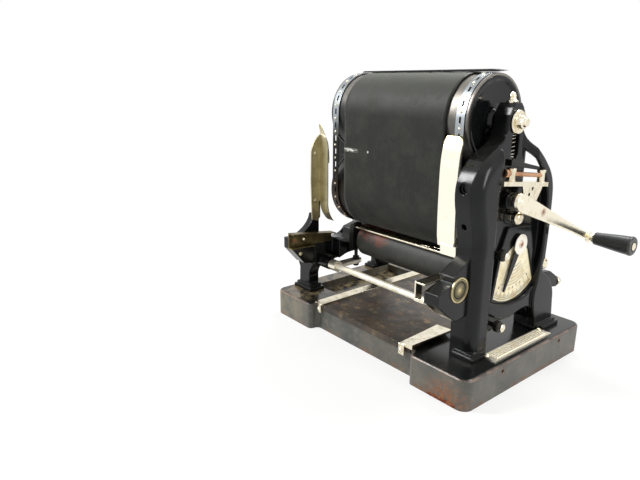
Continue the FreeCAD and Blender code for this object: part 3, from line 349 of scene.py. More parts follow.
CRANK_RUST, WASHER_RUST, LEDGE_RUST = (188.5, 16, 230), (169.5, 6, 183), (-135, -147, 147)
nickel = nickel_plate("nickel_plate_warm", "#efe6cf", "#b9a878", 0.35, 0.16, 0.25)
crank_nickel = nickel_plate("nickel_plate_crank", "#f8f0da", "#c9b98e", 0.22, 0.22, 0.20,
                            spot=(CRANK_RUST, 6))
guard_nickel = nickel_plate("nickel_plate_guard", "#fff9e8", "#e2d8b8", 0.12, 0.30, 0.10,
                            tarnish=(296, 326, "#a3986a"))
washer_nickel = nickel_plate("nickel_plate_washer", "#fbf6e8", "#ddd2ac", 0.25, 0.30, 0.15,
                             spot=(WASHER_RUST, 6))
worn_bright = nickel_plate("nickel_plate_rubbed", "#fbf5e4", "#dccfa6", 0.20, 0.40, 0.15)
olive_nickel = nickel_plate("nickel_plate_olive", "#bcb393", "#958c6b", 0.45, 0.36, 0.20)
ledge_nickel = nickel_plate("nickel_plate_ledge", "#857852", "#4f4632", 0.6, 0.34, 0.35,
                            spot=(LEDGE_RUST, 5))
wire_metal = nickel_plate("spring_wire", "#a3a196", "#66645c", 0.5, 0.28, 0.15)
copper_rod = nickel_plate("coppered_screw", "#cf9f7c", "#a97a5c", 0.4, 0.30, 0.15)
print("nickel finishes:", nickel.name, olive_nickel.name, ledge_nickel.name)

# %% [markdown]
# The drums are tinned sheet and their bands spring steel. The crank side was wiped clean
# and is bright; the far side has been left dark with ink and brown. Lower down the metal
# darkens as well, partly from ink and partly as painted shade, and the pale top above it
# stands in part for a painted reflection of light from above. So one mixture serves both,
# and what steers it is where the point lies along the drum and how high it is.

# %% Inky drum sheet and bands
DRUM_HALF = 60
BROWN_LOW, BROWN_HIGH = 215, 262


def inky_metal(name, clean, ink_and_painted_shade, foot, rough, low_mm, high_mm):
    """Clean on the crank side, ink towards -X, browner at the foot; below high it darkens, partly ink and
    partly painted shade, and above high it stays clean, in part a painted reflection.
    """
    mat, tree, shader, place = start(name)
    far = remap(tree, component(tree, place, "X"), DRUM_HALF * MM, -DRUM_HALF * MM, 0.55, 1.0)
    cloud = patches(tree, place, 14, 0.35, 0.65)
    # under is 1 below low_mm and fades out by high_mm: partly ink, partly painted shade on the lower drum
    # and band, leaving the top pale as a painted reflection.
    under = sums(tree, "MULTIPLY_ADD", cloud, 0.25, height_band(tree, place, low_mm, high_mm))
    dark = times(tree, under, far, clamp=True)
    tone = blend(tree, times(tree, cloud, 0.45), clean, "#8a887e")
    tone = tint(tree, tone, dark, ink_and_painted_shade)
    brown = times(tree, height_band(tree, place, BROWN_LOW, BROWN_HIGH), far)
    brown = times(tree, brown, patches(tree, place, 6, 0.40, 0.62), clamp=True)
    feed(shader, {"Base Color": tint(tree, tone, brown, foot),
                  "Metallic": sums(tree, "MULTIPLY_ADD", dark, -0.6, 1.0),
                  "Roughness": sums(tree, "MULTIPLY_ADD", dark, 0.12, rough),
                  "Normal": bumps(tree, cloud, rounded(tree, 0.4), 0.04, 0.3)})
    return mat


drum_metal = inky_metal("tinned_drum_sheet", "#8e8882", "#1c1d1b", "#33231b", 0.32, 345, 395)
band_metal = inky_metal("spring_steel_band", "#b4bcc2", "#1e1b18", "#4a2c1e", 0.26, 300, 345)
print("drum finishes:", drum_metal.name, band_metal.name)

# %% [markdown]
# Brass under lacquer: the dial plate and the medallion's rim. The dial has yellowed
# unevenly, so pale cream shows beside brassy stains. The rocker rod has the same
# creamy, stained look, more metal than the dial and less than the medallion.

# %% Lacquered brass
def lacquered_brass(name, light, stain, metal_share, rough):
    """Brass or a brassy plate with cloudy stains a centimetre or two across."""
    mat, tree, shader, place = start(name)
    soft = rounded(tree, 0.4)
    cloud = patches(tree, place, 18, 0.44, 0.70)
    specks = patches(tree, place, 2.5, 0.66, 0.74, detail=3.0)
    tone = tint(tree, blend(tree, cloud, light, stain), specks, "#6b5a32", 0.7)
    feed(shader, {"Base Color": tint(tree, tone, edge_mask(tree, soft), "#a08a4c", 0.5),
                  "Metallic": metal_share,
                  "Roughness": sums(tree, "MULTIPLY_ADD", cloud, 0.15, rough),
                  "Normal": bumps(tree, specks, soft, 0.03, 0.4)})
    return mat


dial_brass = lacquered_brass("dial_plate_brass", "#fbf1d2", "#dcc690", 0.10, 0.36)
rim_brass = lacquered_brass("medallion_brass", "#e0d2a2", "#8d7a42", 0.85, 0.28)
rod_plate = lacquered_brass("rubbed_rod_plate", "#f4efe0", "#d9cfb4", 0.30, 0.32)
print(dial_brass.name, rim_brass.name)

# %% [markdown]
# The ink belt is a long-used blanket of close-woven cloth, black with ink. It is matt
# with a soft sheen at grazing angles, its streaks run the way it travels, and a white
# scuff crosses its left edge. Real threads are half a millimetre apart, too fine to
# show at this size, so the ribs of the weave are drawn about 2.4 mm apart.

# %% Inked cloth for the belt
SCUFF_X, SCUFF_Z = -84.0, 290.5
SCUFF_DAB = (-44, -78, 291)


def inked_cloth(name):
    """Charcoal woven cloth with streaks along its own UV length, a white scuff and a painted highlight
    along its top.
    """
    mat, tree, shader, place = start(name)
    along = add(tree, "Mapping", {"Vector": add(tree, "TexCoord").outputs["UV"],
                                  "Scale": (2.0, 60.0, 1.0)}).outputs[0]
    streak = add(tree, "TexNoise", {"Vector": along, "Scale": 1.0, "Detail": 4.0}).outputs[0]
    tone = blend(tree, remap(tree, streak, 0.35, 0.7), "#10120d", "#171912")
    haze = patches(tree, place, 34, 0.44, 0.66, rough=0.75)
    tone = tint(tree, tone, haze, "#303228", 0.6)
    # Painted highlight: upward faces are lightened towards #6c6e64, standing for the lamp above catching
    # the belt's crest.
    up = upward(tree)
    tone = tint(tree, tone, times(tree, up, up), "#6c6e64", 0.35)
    fleck = times(tree, patches(tree, place, 3.0, 0.68, 0.76, detail=2.0),
                  sums(tree, "MULTIPLY_ADD", haze, 0.6, 0.2))
    tone = tint(tree, tone, fleck, "#77786e", 0.45)
    x_away = sums(tree, "ABSOLUTE", sums(tree, "SUBTRACT", component(tree, place, "X"), SCUFF_X * MM))
    z_away = sums(tree, "ABSOLUTE", sums(tree, "SUBTRACT", component(tree, place, "Z"), SCUFF_Z * MM))
    scuff = times(tree, remap(tree, x_away, 20 * MM, 6 * MM), remap(tree, z_away, 3.4 * MM, 0.8 * MM))
    scuff = times(tree, scuff, patches(tree, place, 3.0, 0.40, 0.52, stretch=(0.35, 1, 1)), clamp=True)
    marks = sums(tree, "MAXIMUM", scuff, near(tree, place, SCUFF_DAB, 2.2))
    front = sums(tree, "LESS_THAN", component(tree, place, "Y"), -50 * MM)
    tone = tint(tree, tone, times(tree, marks, front), "#d9d8d0")
    warp = add(tree, "TexWave", {"Vector": place, "Scale": per(1.2) / 6.2832, "Distortion": 0.4},
               bands_direction="X").outputs["Fac"]
    relief = sums(tree, "MULTIPLY_ADD", warp, 0.4, noise(tree, place, 0.8, 4.0))
    feed(shader, {"Base Color": tone, "Specular IOR Level": 0.3,
                  "Sheen Weight": 0.12, "Sheen Roughness": 0.35,
                  "Roughness": remap(tree, haze, 0, 1, 0.52, 0.66),
                  "Normal": bumps(tree, relief, facing(tree), 0.10, 0.5)})
    return mat


belt_cloth = inked_cloth("inked_blanket_cloth")
print(belt_cloth.name)

# %% [markdown]
# Rubber, stained wood, rust and ink finish the list. The roller is grey-black vulcanised
# rubber gone dull, with rust on it. The grip is turned wood, stained black, with its
# grain along its length. Rust is a crumbly ochre powder without any shine.

# %% Rubber, wood, rust and ink
ROLLER_RUST = (((-82, -34, 158), 22), ((-50, -34, 158), 24))


def dull_rubber(name):
    """Vulcanised rubber, dark grey, chalky in clouds, rusty in two places."""
    mat, tree, shader, place = start(name)
    tone = blend(tree, patches(tree, place, 30, 0.38, 0.68), "#252622", "#3a3b36")
    left, right = (near(tree, place, *spot) for spot in ROLLER_RUST)
    ruddy = times(tree, sums(tree, "MAXIMUM", left, right),
                  patches(tree, place, 7, 0.40, 0.54, rough=0.75), clamp=True)
    grain = noise(tree, place, 1.2, 4.0)
    feed(shader, {"Base Color": tint(tree, tone, ruddy, "#8a3f26", 0.9),
                  "Roughness": remap(tree, grain, 0, 1, 0.42, 0.66),
                  "Normal": bumps(tree, grain, rounded(tree, 0.8), 0.12, 0.5)})
    return mat


def stained_wood(name):
    """Black-stained turned wood: grain lines 1.6 mm apart, long in X."""
    mat, tree, shader, place = start(name)
    soft = rounded(tree, 0.8)
    grain = patches(tree, place, 1.6, 0.35, 0.7, stretch=(0.06, 1, 1))
    tone = blend(tree, grain, "#262829", "#3a3c3c")
    feed(shader, {"Base Color": tint(tree, tone, edge_mask(tree, soft), "#5a5449", 0.6),
                  "Roughness": remap(tree, grain, 0, 1, 0.30, 0.42),
                  "Normal": bumps(tree, grain, soft, 0.04, 0.4)})
    return mat


def loose_rust(name):
    """Crumbs of iron oxide, from red-brown to ochre."""
    mat, tree, shader, place = start(name)
    shade = noise(tree, place, 5, 3.0)
    tone = blend(tree, remap(tree, shade, 0.35, 0.5), "#5a2c1a", "#8f4a2a")
    feed(shader, {"Base Color": blend(tree, remap(tree, shade, 0.5, 0.68), tone, "#b97a4c"),
                  "Roughness": 0.9})
    return mat


def print_ink(name, code, rough):
    """Printer's ink, slightly uneven."""
    mat, tree, shader, place = start(name)
    feed(shader, {"Base Color": blend(tree, patches(tree, place, 2.0, 0.3, 0.7), code, "#4a4334"),
                  "Roughness": rough})
    return mat


roller_rubber = dull_rubber("vulcanised_rubber")
grip_wood = stained_wood("black_stained_beech")
rust = loose_rust("loose_rust")
dial_ink = print_ink("dial_print_ink", "#221f1a", 0.6)
print(roller_rubber.name, grip_wood.name, rust.name)

# %% [markdown]
# The CAD parts that are right as they are get their finish by having their own
# material slots filled. Nothing about their place or mesh changes.

# %% Finishes for the CAD parts
FINISH = {
    frame_japan: ["right_side_frame", "left_side_frame", "left_front_bracket", "right_front_bracket",
                  "dial_bezel", "upper_end_discs", "lower_end_discs", "crank_shaft", "bearing_bushes"],
    satin_japan: ["frame_arms", "dial_pointer", "bearing_blocks", "right_roller_block",
                  "left_roller_block", "lift_screws", "roller_core", "lower_gear", "crank_gear",
                  "stencil_clamp_bar"],
    base_japan: ["base_casting"],
    table_steel: ["feed_table"],
    guard_nickel: ["right_edge_guard"],
    nickel: ["right_paper_guide", "right_feed_ledge", "link_shelf", "link_posts", "oil_cups",
             "upper_shaft", "lower_shaft", "roller_shaft", "grip_spindle", "rear_thumb_screw",
             "left_paper_guide", "band_studs", "stripper_bar", "rear_stop_cap"],
    washer_nickel: ["dial_washer"],
    worn_bright: ["base_strip_plate", "lift_levers"],
    rod_plate: ["rocker_rod"],
    crank_nickel: ["crank_arm"],
    olive_nickel: ["left_edge_guard"],
    ledge_nickel: ["left_feed_ledge"],
    copper_rod: ["adjuster_screw"],
    drum_metal: ["upper_drum", "lower_drum"],
    band_metal: ["perforated_bands"],
    wire_metal: ["right_tension_spring", "left_tension_spring"],
    dial_brass: ["dial_plate"],
    rim_brass: ["medallion"],
    roller_rubber: ["roller_sleeve"],
    grip_wood: ["crank_grip"],
    belt_cloth: ["ink_belt"],
}
for finish, names in FINISH.items():
    for name in names:
        mesh = parts[name].data
        if not mesh.materials:
            mesh.materials.append(finish)
        for n in range(len(mesh.materials)):
            mesh.materials[n] = finish
done = {name for names in FINISH.values() for name in names}
print("new surfaces take over from:", sorted(set(parts) - done))

# %% [markdown]
# New surfaces are grids of points. One function turns a grid into a mesh: rows and
# columns may each close on themselves, and the first and last rows may be capped with a
# fan. It measures the signed volume of a closed shape and turns it right side out.

# %% From points to a mesh, and from a mesh to a piece
def grid_mesh(name, grid, close_rows=False, close_columns=False, caps=False):
    """Quads between neighbours of an (m, n, 3) grid, in metres.

    Volume of a closed shape = sum over its triangles of a . (b x c) / 6; where that is
    negative the faces are turned round.
    """
    m, n = grid.shape[:2]
    index = np.arange(m * n).reshape(m, n)
    if close_rows:
        index = np.vstack([index, index[:1]])
    if close_columns:
        index = np.hstack([index, index[:, :1]])
    quads = np.stack([index[:-1, :-1], index[1:, :-1], index[1:, 1:], index[:-1, 1:]], -1).reshape(-1, 4)
    points = grid.reshape(-1, 3)
    fans = np.zeros((0, 3), int)
    if caps:
        first, last = index[0], index[-1]
        points = np.vstack([points, grid[0].mean(0), grid[-1].mean(0)])
        low = np.stack([np.full(len(first) - 1, m * n), first[:-1], first[1:]], -1)
        high = np.stack([np.full(len(last) - 1, m * n + 1), last[1:], last[:-1]], -1)
        fans = np.vstack([low, high])
    tris = np.vstack([quads[:, [0, 1, 2]], quads[:, [0, 2, 3]], fans])
    a, b, c = points[tris[:, 0]], points[tris[:, 1]], points[tris[:, 2]]
    volume = np.einsum("ij,ij->i", a, np.cross(b, c)).sum() / 6
    if volume < 0:
        quads, fans = quads[:, ::-1], fans[:, ::-1]
    corners = np.concatenate([quads.ravel(), fans.ravel()]).astype(np.int32)
    starts = np.concatenate([np.arange(len(quads)) * 4, len(quads) * 4 + np.arange(len(fans)) * 3])
    mesh = bpy.data.meshes.new(name)
    mesh.vertices.add(len(points))
    mesh.vertices.foreach_set("co", points.astype(np.float32).ravel())
    mesh.loops.add(len(corners))
    mesh.loops.foreach_set("vertex_index", corners)
    mesh.polygons.add(len(starts))
    mesh.polygons.foreach_set("loop_start", starts.astype(np.int32))
    mesh.update(calc_edges=True)
    mesh.polygons.foreach_set("use_smooth", np.ones(len(starts), bool))
    return mesh


def plain_mesh(name, points, faces):
    """A mesh from points in millimetres and a list of faces."""
    mesh = bpy.data.meshes.new(name)
    mesh.from_pydata((points.reshape(-1, 3) * MM).tolist(), [], faces)
    mesh.update()
    return mesh


def boxes(name, corners, table):
    """Many boxes of eight corners each, which share one table of six faces."""
    faces = np.array(table)[None] + 8 * np.arange(len(corners))[:, None, None]
    return plain_mesh(name, corners, faces.reshape(-1, 4).tolist())


def sharp(mesh, degrees=35):
    """Keep turned corners crisp while the rounds stay smooth."""
    mesh.set_sharp_from_angle(angle=math.radians(degrees))
    return mesh


def place_piece(mesh, finish, body="base_and_frames", stands_for=()):
    """Link a mesh as a piece: its finish, its body, what it replaces."""
    piece = bpy.data.objects.new(mesh.name, mesh)
    bpy.context.scene.collection.objects.link(piece)
    mesh.materials.clear()
    mesh.materials.append(finish)
    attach(piece, body)
    if stands_for:
        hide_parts(*stands_for)
    print(f"{mesh.name}: {len(mesh.polygons)} faces on {body}")
    return piece


# %% [markdown]
# The belt runs over both cylinders, so its section is a stadium: two half circles of
# the belt's radius, joined by straight runs. It is worked out by arc length, so that
# the weave and the streaks keep one scale all the way round. Cloth is never quite
# true, so it bellies in and out by a few tenths of a millimetre and its edges wander.

# %% The ink belt
CYLINDER_Y, LOWER_Z, UPPER_Z = -18.0, 224.0, 344.0
BELT_MIDDLE, BELT_WIDTH, BELT_THICK = 59.2, 193.0, 1.5


def loop_point(s, radius):
    """Point and outward direction at arc length s of the stadium, from the low front.

    Up the front run, round the top, down the rear run, round the bottom; s and the
    results are arrays, in millimetres.
    """
    run, half = UPPER_Z - LOWER_Z, math.pi * radius
    s = np.mod(s, 2 * run + 2 * half)
    legs = [s < run, s < run + half, s < 2 * run + half]
    angle = np.select(legs, [np.full_like(s, math.pi), math.pi - (s - run) / radius, np.zeros_like(s)],
                      -(s - 2 * run - half) / radius)
    centre = np.select(legs, [LOWER_Z + s, np.full_like(s, UPPER_Z), UPPER_Z - (s - run - half)], LOWER_Z)
    out = np.stack([np.cos(angle), np.sin(angle)], -1)
    return np.stack([CYLINDER_Y + radius * out[..., 0], centre + radius * out[..., 1]], -1), out


def belt_grid(rows=420, columns=40):
    """Rows round the loop, columns across it; r = r0 + small waves of s and x."""
    length = 2 * (UPPER_Z - LOWER_Z) + 2 * math.pi * BELT_MIDDLE
    s = np.linspace(0, length, rows, endpoint=False)[:, None]
    across = np.linspace(-0.5, 0.5, columns)[None, :]
    turn = 2 * math.pi * s / length
    edge = 0.35 * np.sin(9 * turn) + 0.25 * np.sin(23 * turn + 1.0)
    x = across * (BELT_WIDTH + 2 * edge * np.sign(across)) + 0.0 * s
    wave = 0.16 * np.sin(7 * turn + 5 * across) + 0.10 * np.sin(31 * across + 3 * turn)
    curl = 0.5 * np.clip(np.abs(across) * 2 - 0.93, 0, 1) * np.sin(11 * turn)
    place, out = loop_point(np.broadcast_to(s, x.shape), BELT_MIDDLE)
    place = place + out * (wave + curl)[..., None]
    grid = np.stack([x, place[..., 0], place[..., 1]], -1) * MM
    return grid, s / length + 0 * x, across + 0.5 + 0 * x, length


grid, u, v, belt_length = belt_grid()
mesh = grid_mesh("ink_belt_cloth", grid, close_rows=True)
layer = mesh.uv_layers.new(name="cloth")
corner_vertex = np.zeros(len(mesh.loops), np.int32)
mesh.loops.foreach_get("vertex_index", corner_vertex)
travel = u.ravel()[corner_vertex].reshape(-1, 4)
travel = np.where((travel.max(1, keepdims=True) > 0.9) & (travel < 0.1), travel + 1, travel)
uv = np.stack([travel.ravel() * belt_length / BELT_WIDTH, v.ravel()[corner_vertex]], -1)
layer.data.foreach_set("uv", uv.astype(np.float32).ravel())
belt = place_piece(mesh, belt_cloth, stands_for=["ink_belt"])
solid = belt.modifiers.new("thickness", "SOLIDIFY")
solid.thickness = BELT_THICK * MM
solid.offset = 0.0
print(f"belt loop {belt_length:.0f} mm long")

# %% [markdown]
# A coil spring is a circle carried along a helix. The real ones have their end turns
# closed and ground flat, so the pitch shrinks towards both ends. The frame of the tube
# comes from the helix itself: the radial direction, and what is square to it and to
# the wire's direction.

# %% The tension springs
SPRING_FOOT, SPRING_TOP = 297.3, 332.8


def coil(name, x, low, high, turns=8.5, radius=5.6, wire=0.8, steps=620, sides=12):
    """P(t) = centre + radius (cos a, sin a) with a = 2 pi turns t; z eases at the ends."""
    t = np.linspace(0, 1, steps)
    eased = t - 0.055 * np.sin(2 * math.pi * t)
    angle = 2 * math.pi * turns * t
    z = low + wire + (high - low - 2 * wire) * eased
    path = np.stack([x + radius * np.cos(angle), CYLINDER_Y + radius * np.sin(angle), z], -1)
    ahead = np.gradient(path, axis=0)
    ahead /= np.linalg.norm(ahead, axis=1, keepdims=True)
    radial = np.stack([np.cos(angle), np.sin(angle), np.zeros_like(angle)], -1)
    side = np.cross(ahead, radial)
    side /= np.linalg.norm(side, axis=1, keepdims=True)
    radial = np.cross(side, ahead)
    around = np.linspace(0, 2 * math.pi, sides, endpoint=False)
    ring = (np.cos(around)[None, :, None] * radial[:, None, :]
            + np.sin(around)[None, :, None] * side[:, None, :])
    return grid_mesh(name, (path[:, None, :] + wire * ring) * MM, close_columns=True, caps=True)


for side_name, x in (("right", 152.5), ("left", -161.0)):
    piece = place_piece(coil(f"{side_name}_coil_spring", x, SPRING_FOOT, SPRING_TOP), wire_metal,
                        stands_for=[f"{side_name}_tension_spring"])
    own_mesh(piece)

# %% [markdown]
# Turned pieces are a profile carried round an axis. Knurling is a small wave of the
# radius with the angle, let in only along the part that fingers hold.

# %% Turned pieces
def turned(name, profile, origin, segments=64, knurl=None):
    """Profile of (distance, radius) pairs round an axis along X; r(d, a) = r + k cos(n a)."""
    d, r = np.array(profile, float).T
    a = np.linspace(0, 2 * math.pi, segments, endpoint=False)
    radius = np.repeat(r[:, None], segments, 1)
    if knurl:
        count, depth, low, high = knurl
        held = ((d >= low) & (d <= high)).astype(float)[:, None]
        radius = radius + depth * held * np.cos(count * a)[None, :]
    local = np.stack([np.repeat(d[:, None], segments, 1), radius * np.cos(a), radius * np.sin(a)], -1)
    return grid_mesh(name, (local + np.array(origin, float)) * MM, close_columns=True, caps=True)


# %% [markdown]
# The two clamps on the right frame are knurled thumb nuts with a nickel stud through
# them. The nut is black and the stud's ball end is bright, so each is two finishes.

# %% Clamp nuts with bright studs
NUT = [(0, 3.2), (0.2, 3.2), (7.8, 3.2), (8, 7.0), (8.6, 7.6), (14.4, 7.6), (15, 7.0), (15.2, 4.0)]
STUD = [(15.2, 3.6), (17.2, 3.6), (17.8, 4.6), (18.6, 5.4), (19.6, 5.5), (20.5, 4.6), (21, 3.2)]
for name, seat in (("dial_clamp_knob", (160, -42, 178)), ("lower_clamp_knob", (161, -38, 78))):
    nut = turned(f"{name}_nut", NUT, seat, segments=96, knurl=(24, 0.22, 8.5, 14.5))
    place_piece(sharp(nut), satin_japan, name, [name])
    place_piece(sharp(turned(f"{name}_stud", STUD, seat, segments=48)), nickel, name)

# %% [markdown]
# A round-headed wood or machine screw has a domed head with a slot. The head is a disc
# of rings whose height is a dome, let down by a flat-bottomed step where the slot runs.

# %% Slotted screws
HEAD_RINGS = np.array([1.0, 1.0, 0.985, 0.95, 0.88, 0.78, 0.66, 0.54, 0.42, 0.30, 0.2, 0.12, 0.06])


def screw_head(origin, normal, slot_angle, radius=3.6, dome=2.2, slot=0.42, deep=0.9):
    """Rings from the seat to the crown: h(r) = dome (1 - (r/R)^2.4), less the slot."""
    a = np.linspace(0, 2 * math.pi, 72, endpoint=False)
    rings = radius * HEAD_RINGS
    height = np.concatenate([[0.0], 0.35 + dome * (1 - (rings[1:] / radius) ** 2.4)])
    r, h = np.broadcast_arrays(rings[:, None], height[:, None] + 0 * a[None, :])
    off = np.abs(r * np.sin(a - slot_angle)[None, :])
    cut = deep * np.clip((slot + 0.18 - off) / 0.18, 0, 1)
    h = np.maximum(h - np.where(r < radius * 0.97, cut, cut * 0.6), 0.05)
    h[0] = 0
    n = np.array(normal, float)
    e = np.cross(n, [0.0, 0.0, 1.0]) if abs(n[2]) < 0.9 else np.array([1.0, 0.0, 0.0])
    e = e / np.linalg.norm(e)
    f = np.cross(n, e)
    return (np.array(origin, float) + (r * np.cos(a))[..., None] * e
            + (r * np.sin(a))[..., None] * f + h[..., None] * n)


SCREWS = [((-98.5, -127, 36), (0, -1, 0), 0.6), ((84.5, -129.5, 37), (0, -1, 0), 2.1),
          ((-137, -134, 122), (1, 0, 0), 1.1), ((-135.2, -104.6, 282), (1, 0, 0), 0.3),
          ((-135.2, -104.3, 207), (1, 0, 0), 1.9), ((-135, -128, 146), (1, 0, 0), 2.6),
          ((176.5, -63.3, 45), (0, 0, 1), 0.4), ((176.5, 62.3, 45), (0, 0, 1), 1.4)]
OLIVE_SCREWS = (2, 3, 4)
for n, spot in enumerate(SCREWS):
    mesh = grid_mesh(f"slotted_screw_{n}", screw_head(*spot) * MM, close_columns=True, caps=True)
    place_piece(sharp(mesh, 50), olive_nickel if n in OLIVE_SCREWS else nickel,
                stands_for=["fixing_screws"] if n == 0 else ())

# %% [markdown]
# The dial's scale is printed: arcs, ticks and plain numbers, all a tenth of a
# millimetre proud here so that they exist as shapes. Every tick is a small bar, and the
# eight corners of all the bars are worked out in one array.

# %% The dial's scale
DIAL_Y, DIAL_Z, DIAL_FACE = 1.4, 182.0, 162.1
FIRST, LAST = -30.0, 38.0
SUNK, PROUD = 0.05, 0.12
BAR = [[0, 3, 2, 1], [4, 5, 6, 7], [0, 1, 5, 4], [1, 2, 6, 5], [2, 3, 7, 6], [3, 0, 4, 7]]


def dial_point(degrees, radius):
    """y, z at an angle from straight down and a radius from the middle of the scale."""
    a = np.radians(degrees)
    return DIAL_Y + radius * np.sin(a), DIAL_Z - radius * np.cos(a)


def ticks(name, degrees, inner, outer, width):
    """Radial bars: corners = middle line +- half width, on two levels."""
    degrees, inner, outer = np.broadcast_arrays(degrees, inner, outer)
    a = np.radians(degrees)
    out = np.stack([np.sin(a), -np.cos(a)], -1)
    side = np.stack([np.cos(a), np.sin(a)], -1) * width / 2
    centre = np.array([DIAL_Y, DIAL_Z])
    near_end, far_end = centre + out * inner[:, None], centre + out * outer[:, None]
    flat = np.stack([near_end - side, near_end + side, far_end + side, far_end - side], 1)
    levels = [np.concatenate([np.full(flat.shape[:2] + (1,), x), flat], -1)
              for x in (DIAL_FACE - SUNK, DIAL_FACE + PROUD)]
    return boxes(name, np.concatenate(levels, 1), BAR)


def scale_arc(name, radius, width, first=FIRST, last=LAST):
    """A thin arc: a four-cornered section carried from one angle to another."""
    a = np.linspace(first, last, 90)[:, None]
    r = radius + width * np.array([-0.5, 0.5, 0.5, -0.5])[None, :]
    x = DIAL_FACE + np.array([-SUNK, -SUNK, PROUD, PROUD])[None, :] + 0 * a
    y, z = dial_point(a + 0 * r, r + 0 * a)
    return grid_mesh(name, np.stack([x, y, z], -1) * MM, close_columns=True, caps=True)


long_marks = np.arange(-28.0, 37.0, 8.0)
short_marks = np.setdiff1d(np.arange(-30.0, 38.0, 2.0), long_marks)
dashes = np.arange(-12.0, 34.0, 3.0)
dash_rows = np.array([31.0, 36.0, 41.0, 46.0, 51.0])
dash_radius = np.repeat(dash_rows, len(dashes))
for mesh in (
    ticks("dial_long_ticks", long_marks, 66.5, 73.5, 0.7),
    ticks("dial_short_ticks", short_marks, 70.0, 73.5, 0.45),
    ticks("dial_small_ticks", np.tile(dashes, len(dash_rows)), dash_radius, dash_radius + 2.4, 0.5),
    scale_arc("dial_outer_arc", 76.0, 0.8),
    scale_arc("dial_scale_arc", 73.8, 0.4),
    scale_arc("dial_inner_arc", 56.5, 0.5, -27.0, 35.0),
):
    place_piece(mesh, dial_ink)

# %% [markdown]
# Plain numbers stand by the long ticks. Text is made a mesh before it is put in place,
# so the finished piece sits at the origin like every other.

# %% The dial's numbers
def numeral(name, text, degrees, radius, height):
    """Flat letters as mesh points, stood upright on the dial at an angle and radius."""
    curve = bpy.data.curves.new(f"numeral_{text}", "FONT")
    curve.body = text
    curve.size = height * MM
    curve.align_x = "CENTER"
    curve.align_y = "CENTER"
    curve.extrude = 0.08 * MM
    curve.resolution_u = 2
    helper = bpy.data.objects.new(f"numeral_{text}", curve)
    bpy.context.scene.collection.objects.link(helper)
    bpy.context.view_layer.update()
    mesh = bpy.data.meshes.new_from_object(helper)
    mesh.name = name
    bpy.data.objects.remove(helper)
    flat = np.zeros(len(mesh.vertices) * 3, np.float32)
    mesh.vertices.foreach_get("co", flat)
    flat = flat.reshape(-1, 3)
    y, z = dial_point(degrees, radius)
    a = math.radians(degrees)
    right, up = np.array([math.cos(a), math.sin(a)]), np.array([-math.sin(a), math.cos(a)])
    yz = np.array([y, z]) * MM + flat[:, :1] * right + flat[:, 1:2] * up
    points = np.column_stack([DIAL_FACE * MM + 0.06 * MM + flat[:, 2], yz])
    mesh.vertices.foreach_set("co", points.astype(np.float32).ravel())
    mesh.update()
    return mesh


for n, degrees in enumerate(long_marks):
    place_piece(numeral(f"dial_number_{n}", str(n), degrees, 62.0, 6.0), dial_ink)

# %% [markdown]
# The medallion carries only a plain ornament: a sunk field of black enamel inside the
# brass rim, with a turned ring, a ring of beads and a rosette of beads round a boss. A
# bead is a tiny dome. One small grid is repeated by adding every bead's centre to it.

# %% The medallion
MEDAL = (160.9, -111.0, 144.0)
BEAD_SEAT = 161.25


def beads(name, turn, reach, radius, rise, rows=4, columns=8):
    """Domes at angles and distances from the middle: r = R cos p, h = rise sin p."""
    centres = np.stack([np.full(len(turn), BEAD_SEAT), MEDAL[1] + reach * np.cos(turn),
                        MEDAL[2] + reach * np.sin(turn)], -1)
    p = np.linspace(0, math.pi / 2 * 0.92, rows)[:, None]
    a = np.linspace(0, 2 * math.pi, columns, endpoint=False)[None, :]
    dome = np.stack([rise * np.sin(p) + 0 * a, radius * np.cos(p) * np.cos(a),
                     radius * np.cos(p) * np.sin(a)], -1).reshape(-1, 3)
    index = np.arange(rows * columns).reshape(rows, columns)
    index = np.hstack([index, index[:, :1]])
    quads = np.stack([index[:-1, :-1], index[:-1, 1:], index[1:, 1:], index[1:, :-1]], -1).reshape(-1, 4)
    step = rows * columns * np.arange(len(centres))
    faces = (quads[None] + step[:, None, None]).reshape(-1, 4).tolist()
    for ring in (index[-1, :-1], index[0, :-1][::-1]):
        faces += (ring[None] + step[:, None]).tolist()
    mesh = plain_mesh(name, centres[:, None, :] + dome[None], faces)
    mesh.polygons.foreach_set("use_smooth", np.ones(len(mesh.polygons), bool))
    return mesh


field = turned("medallion_field", [(0, 14.5), (0.35, 14.5), (0.35, 11.2), (0.75, 11.0), (0.75, 10.2),
                                   (0.35, 10.0), (0.35, 0.4)], MEDAL, segments=96)
place_piece(sharp(field), satin_japan)
rim_turns = np.linspace(0, 2 * math.pi, 28, endpoint=False)
petal_turns = np.repeat(np.linspace(0, 2 * math.pi, 20, endpoint=False), 4)
petal_reach = np.tile([3.4, 5.2, 7.0, 8.8], 20)
boss = turned("medallion_boss", [(0.3, 2.4), (0.8, 2.2), (1.1, 1.6), (1.25, 0.6)], MEDAL)
for mesh in (beads("medallion_beads", rim_turns, 12.8, 0.8, 0.7),
             beads("medallion_rosette", petal_turns, petal_reach, 0.62, 0.5), boss):
    place_piece(mesh, rim_brass)

# %% [markdown]
# Behind the tip of the left guard stands a second, brighter leaf of the same strip. A
# flat four-cornered section is carried up a curved middle line, and narrows at its tip.

# %% The leaf behind the left guard
LEAF_FOOT, LEAF_RISE, LEAF_Y = 268, 58, -93.4


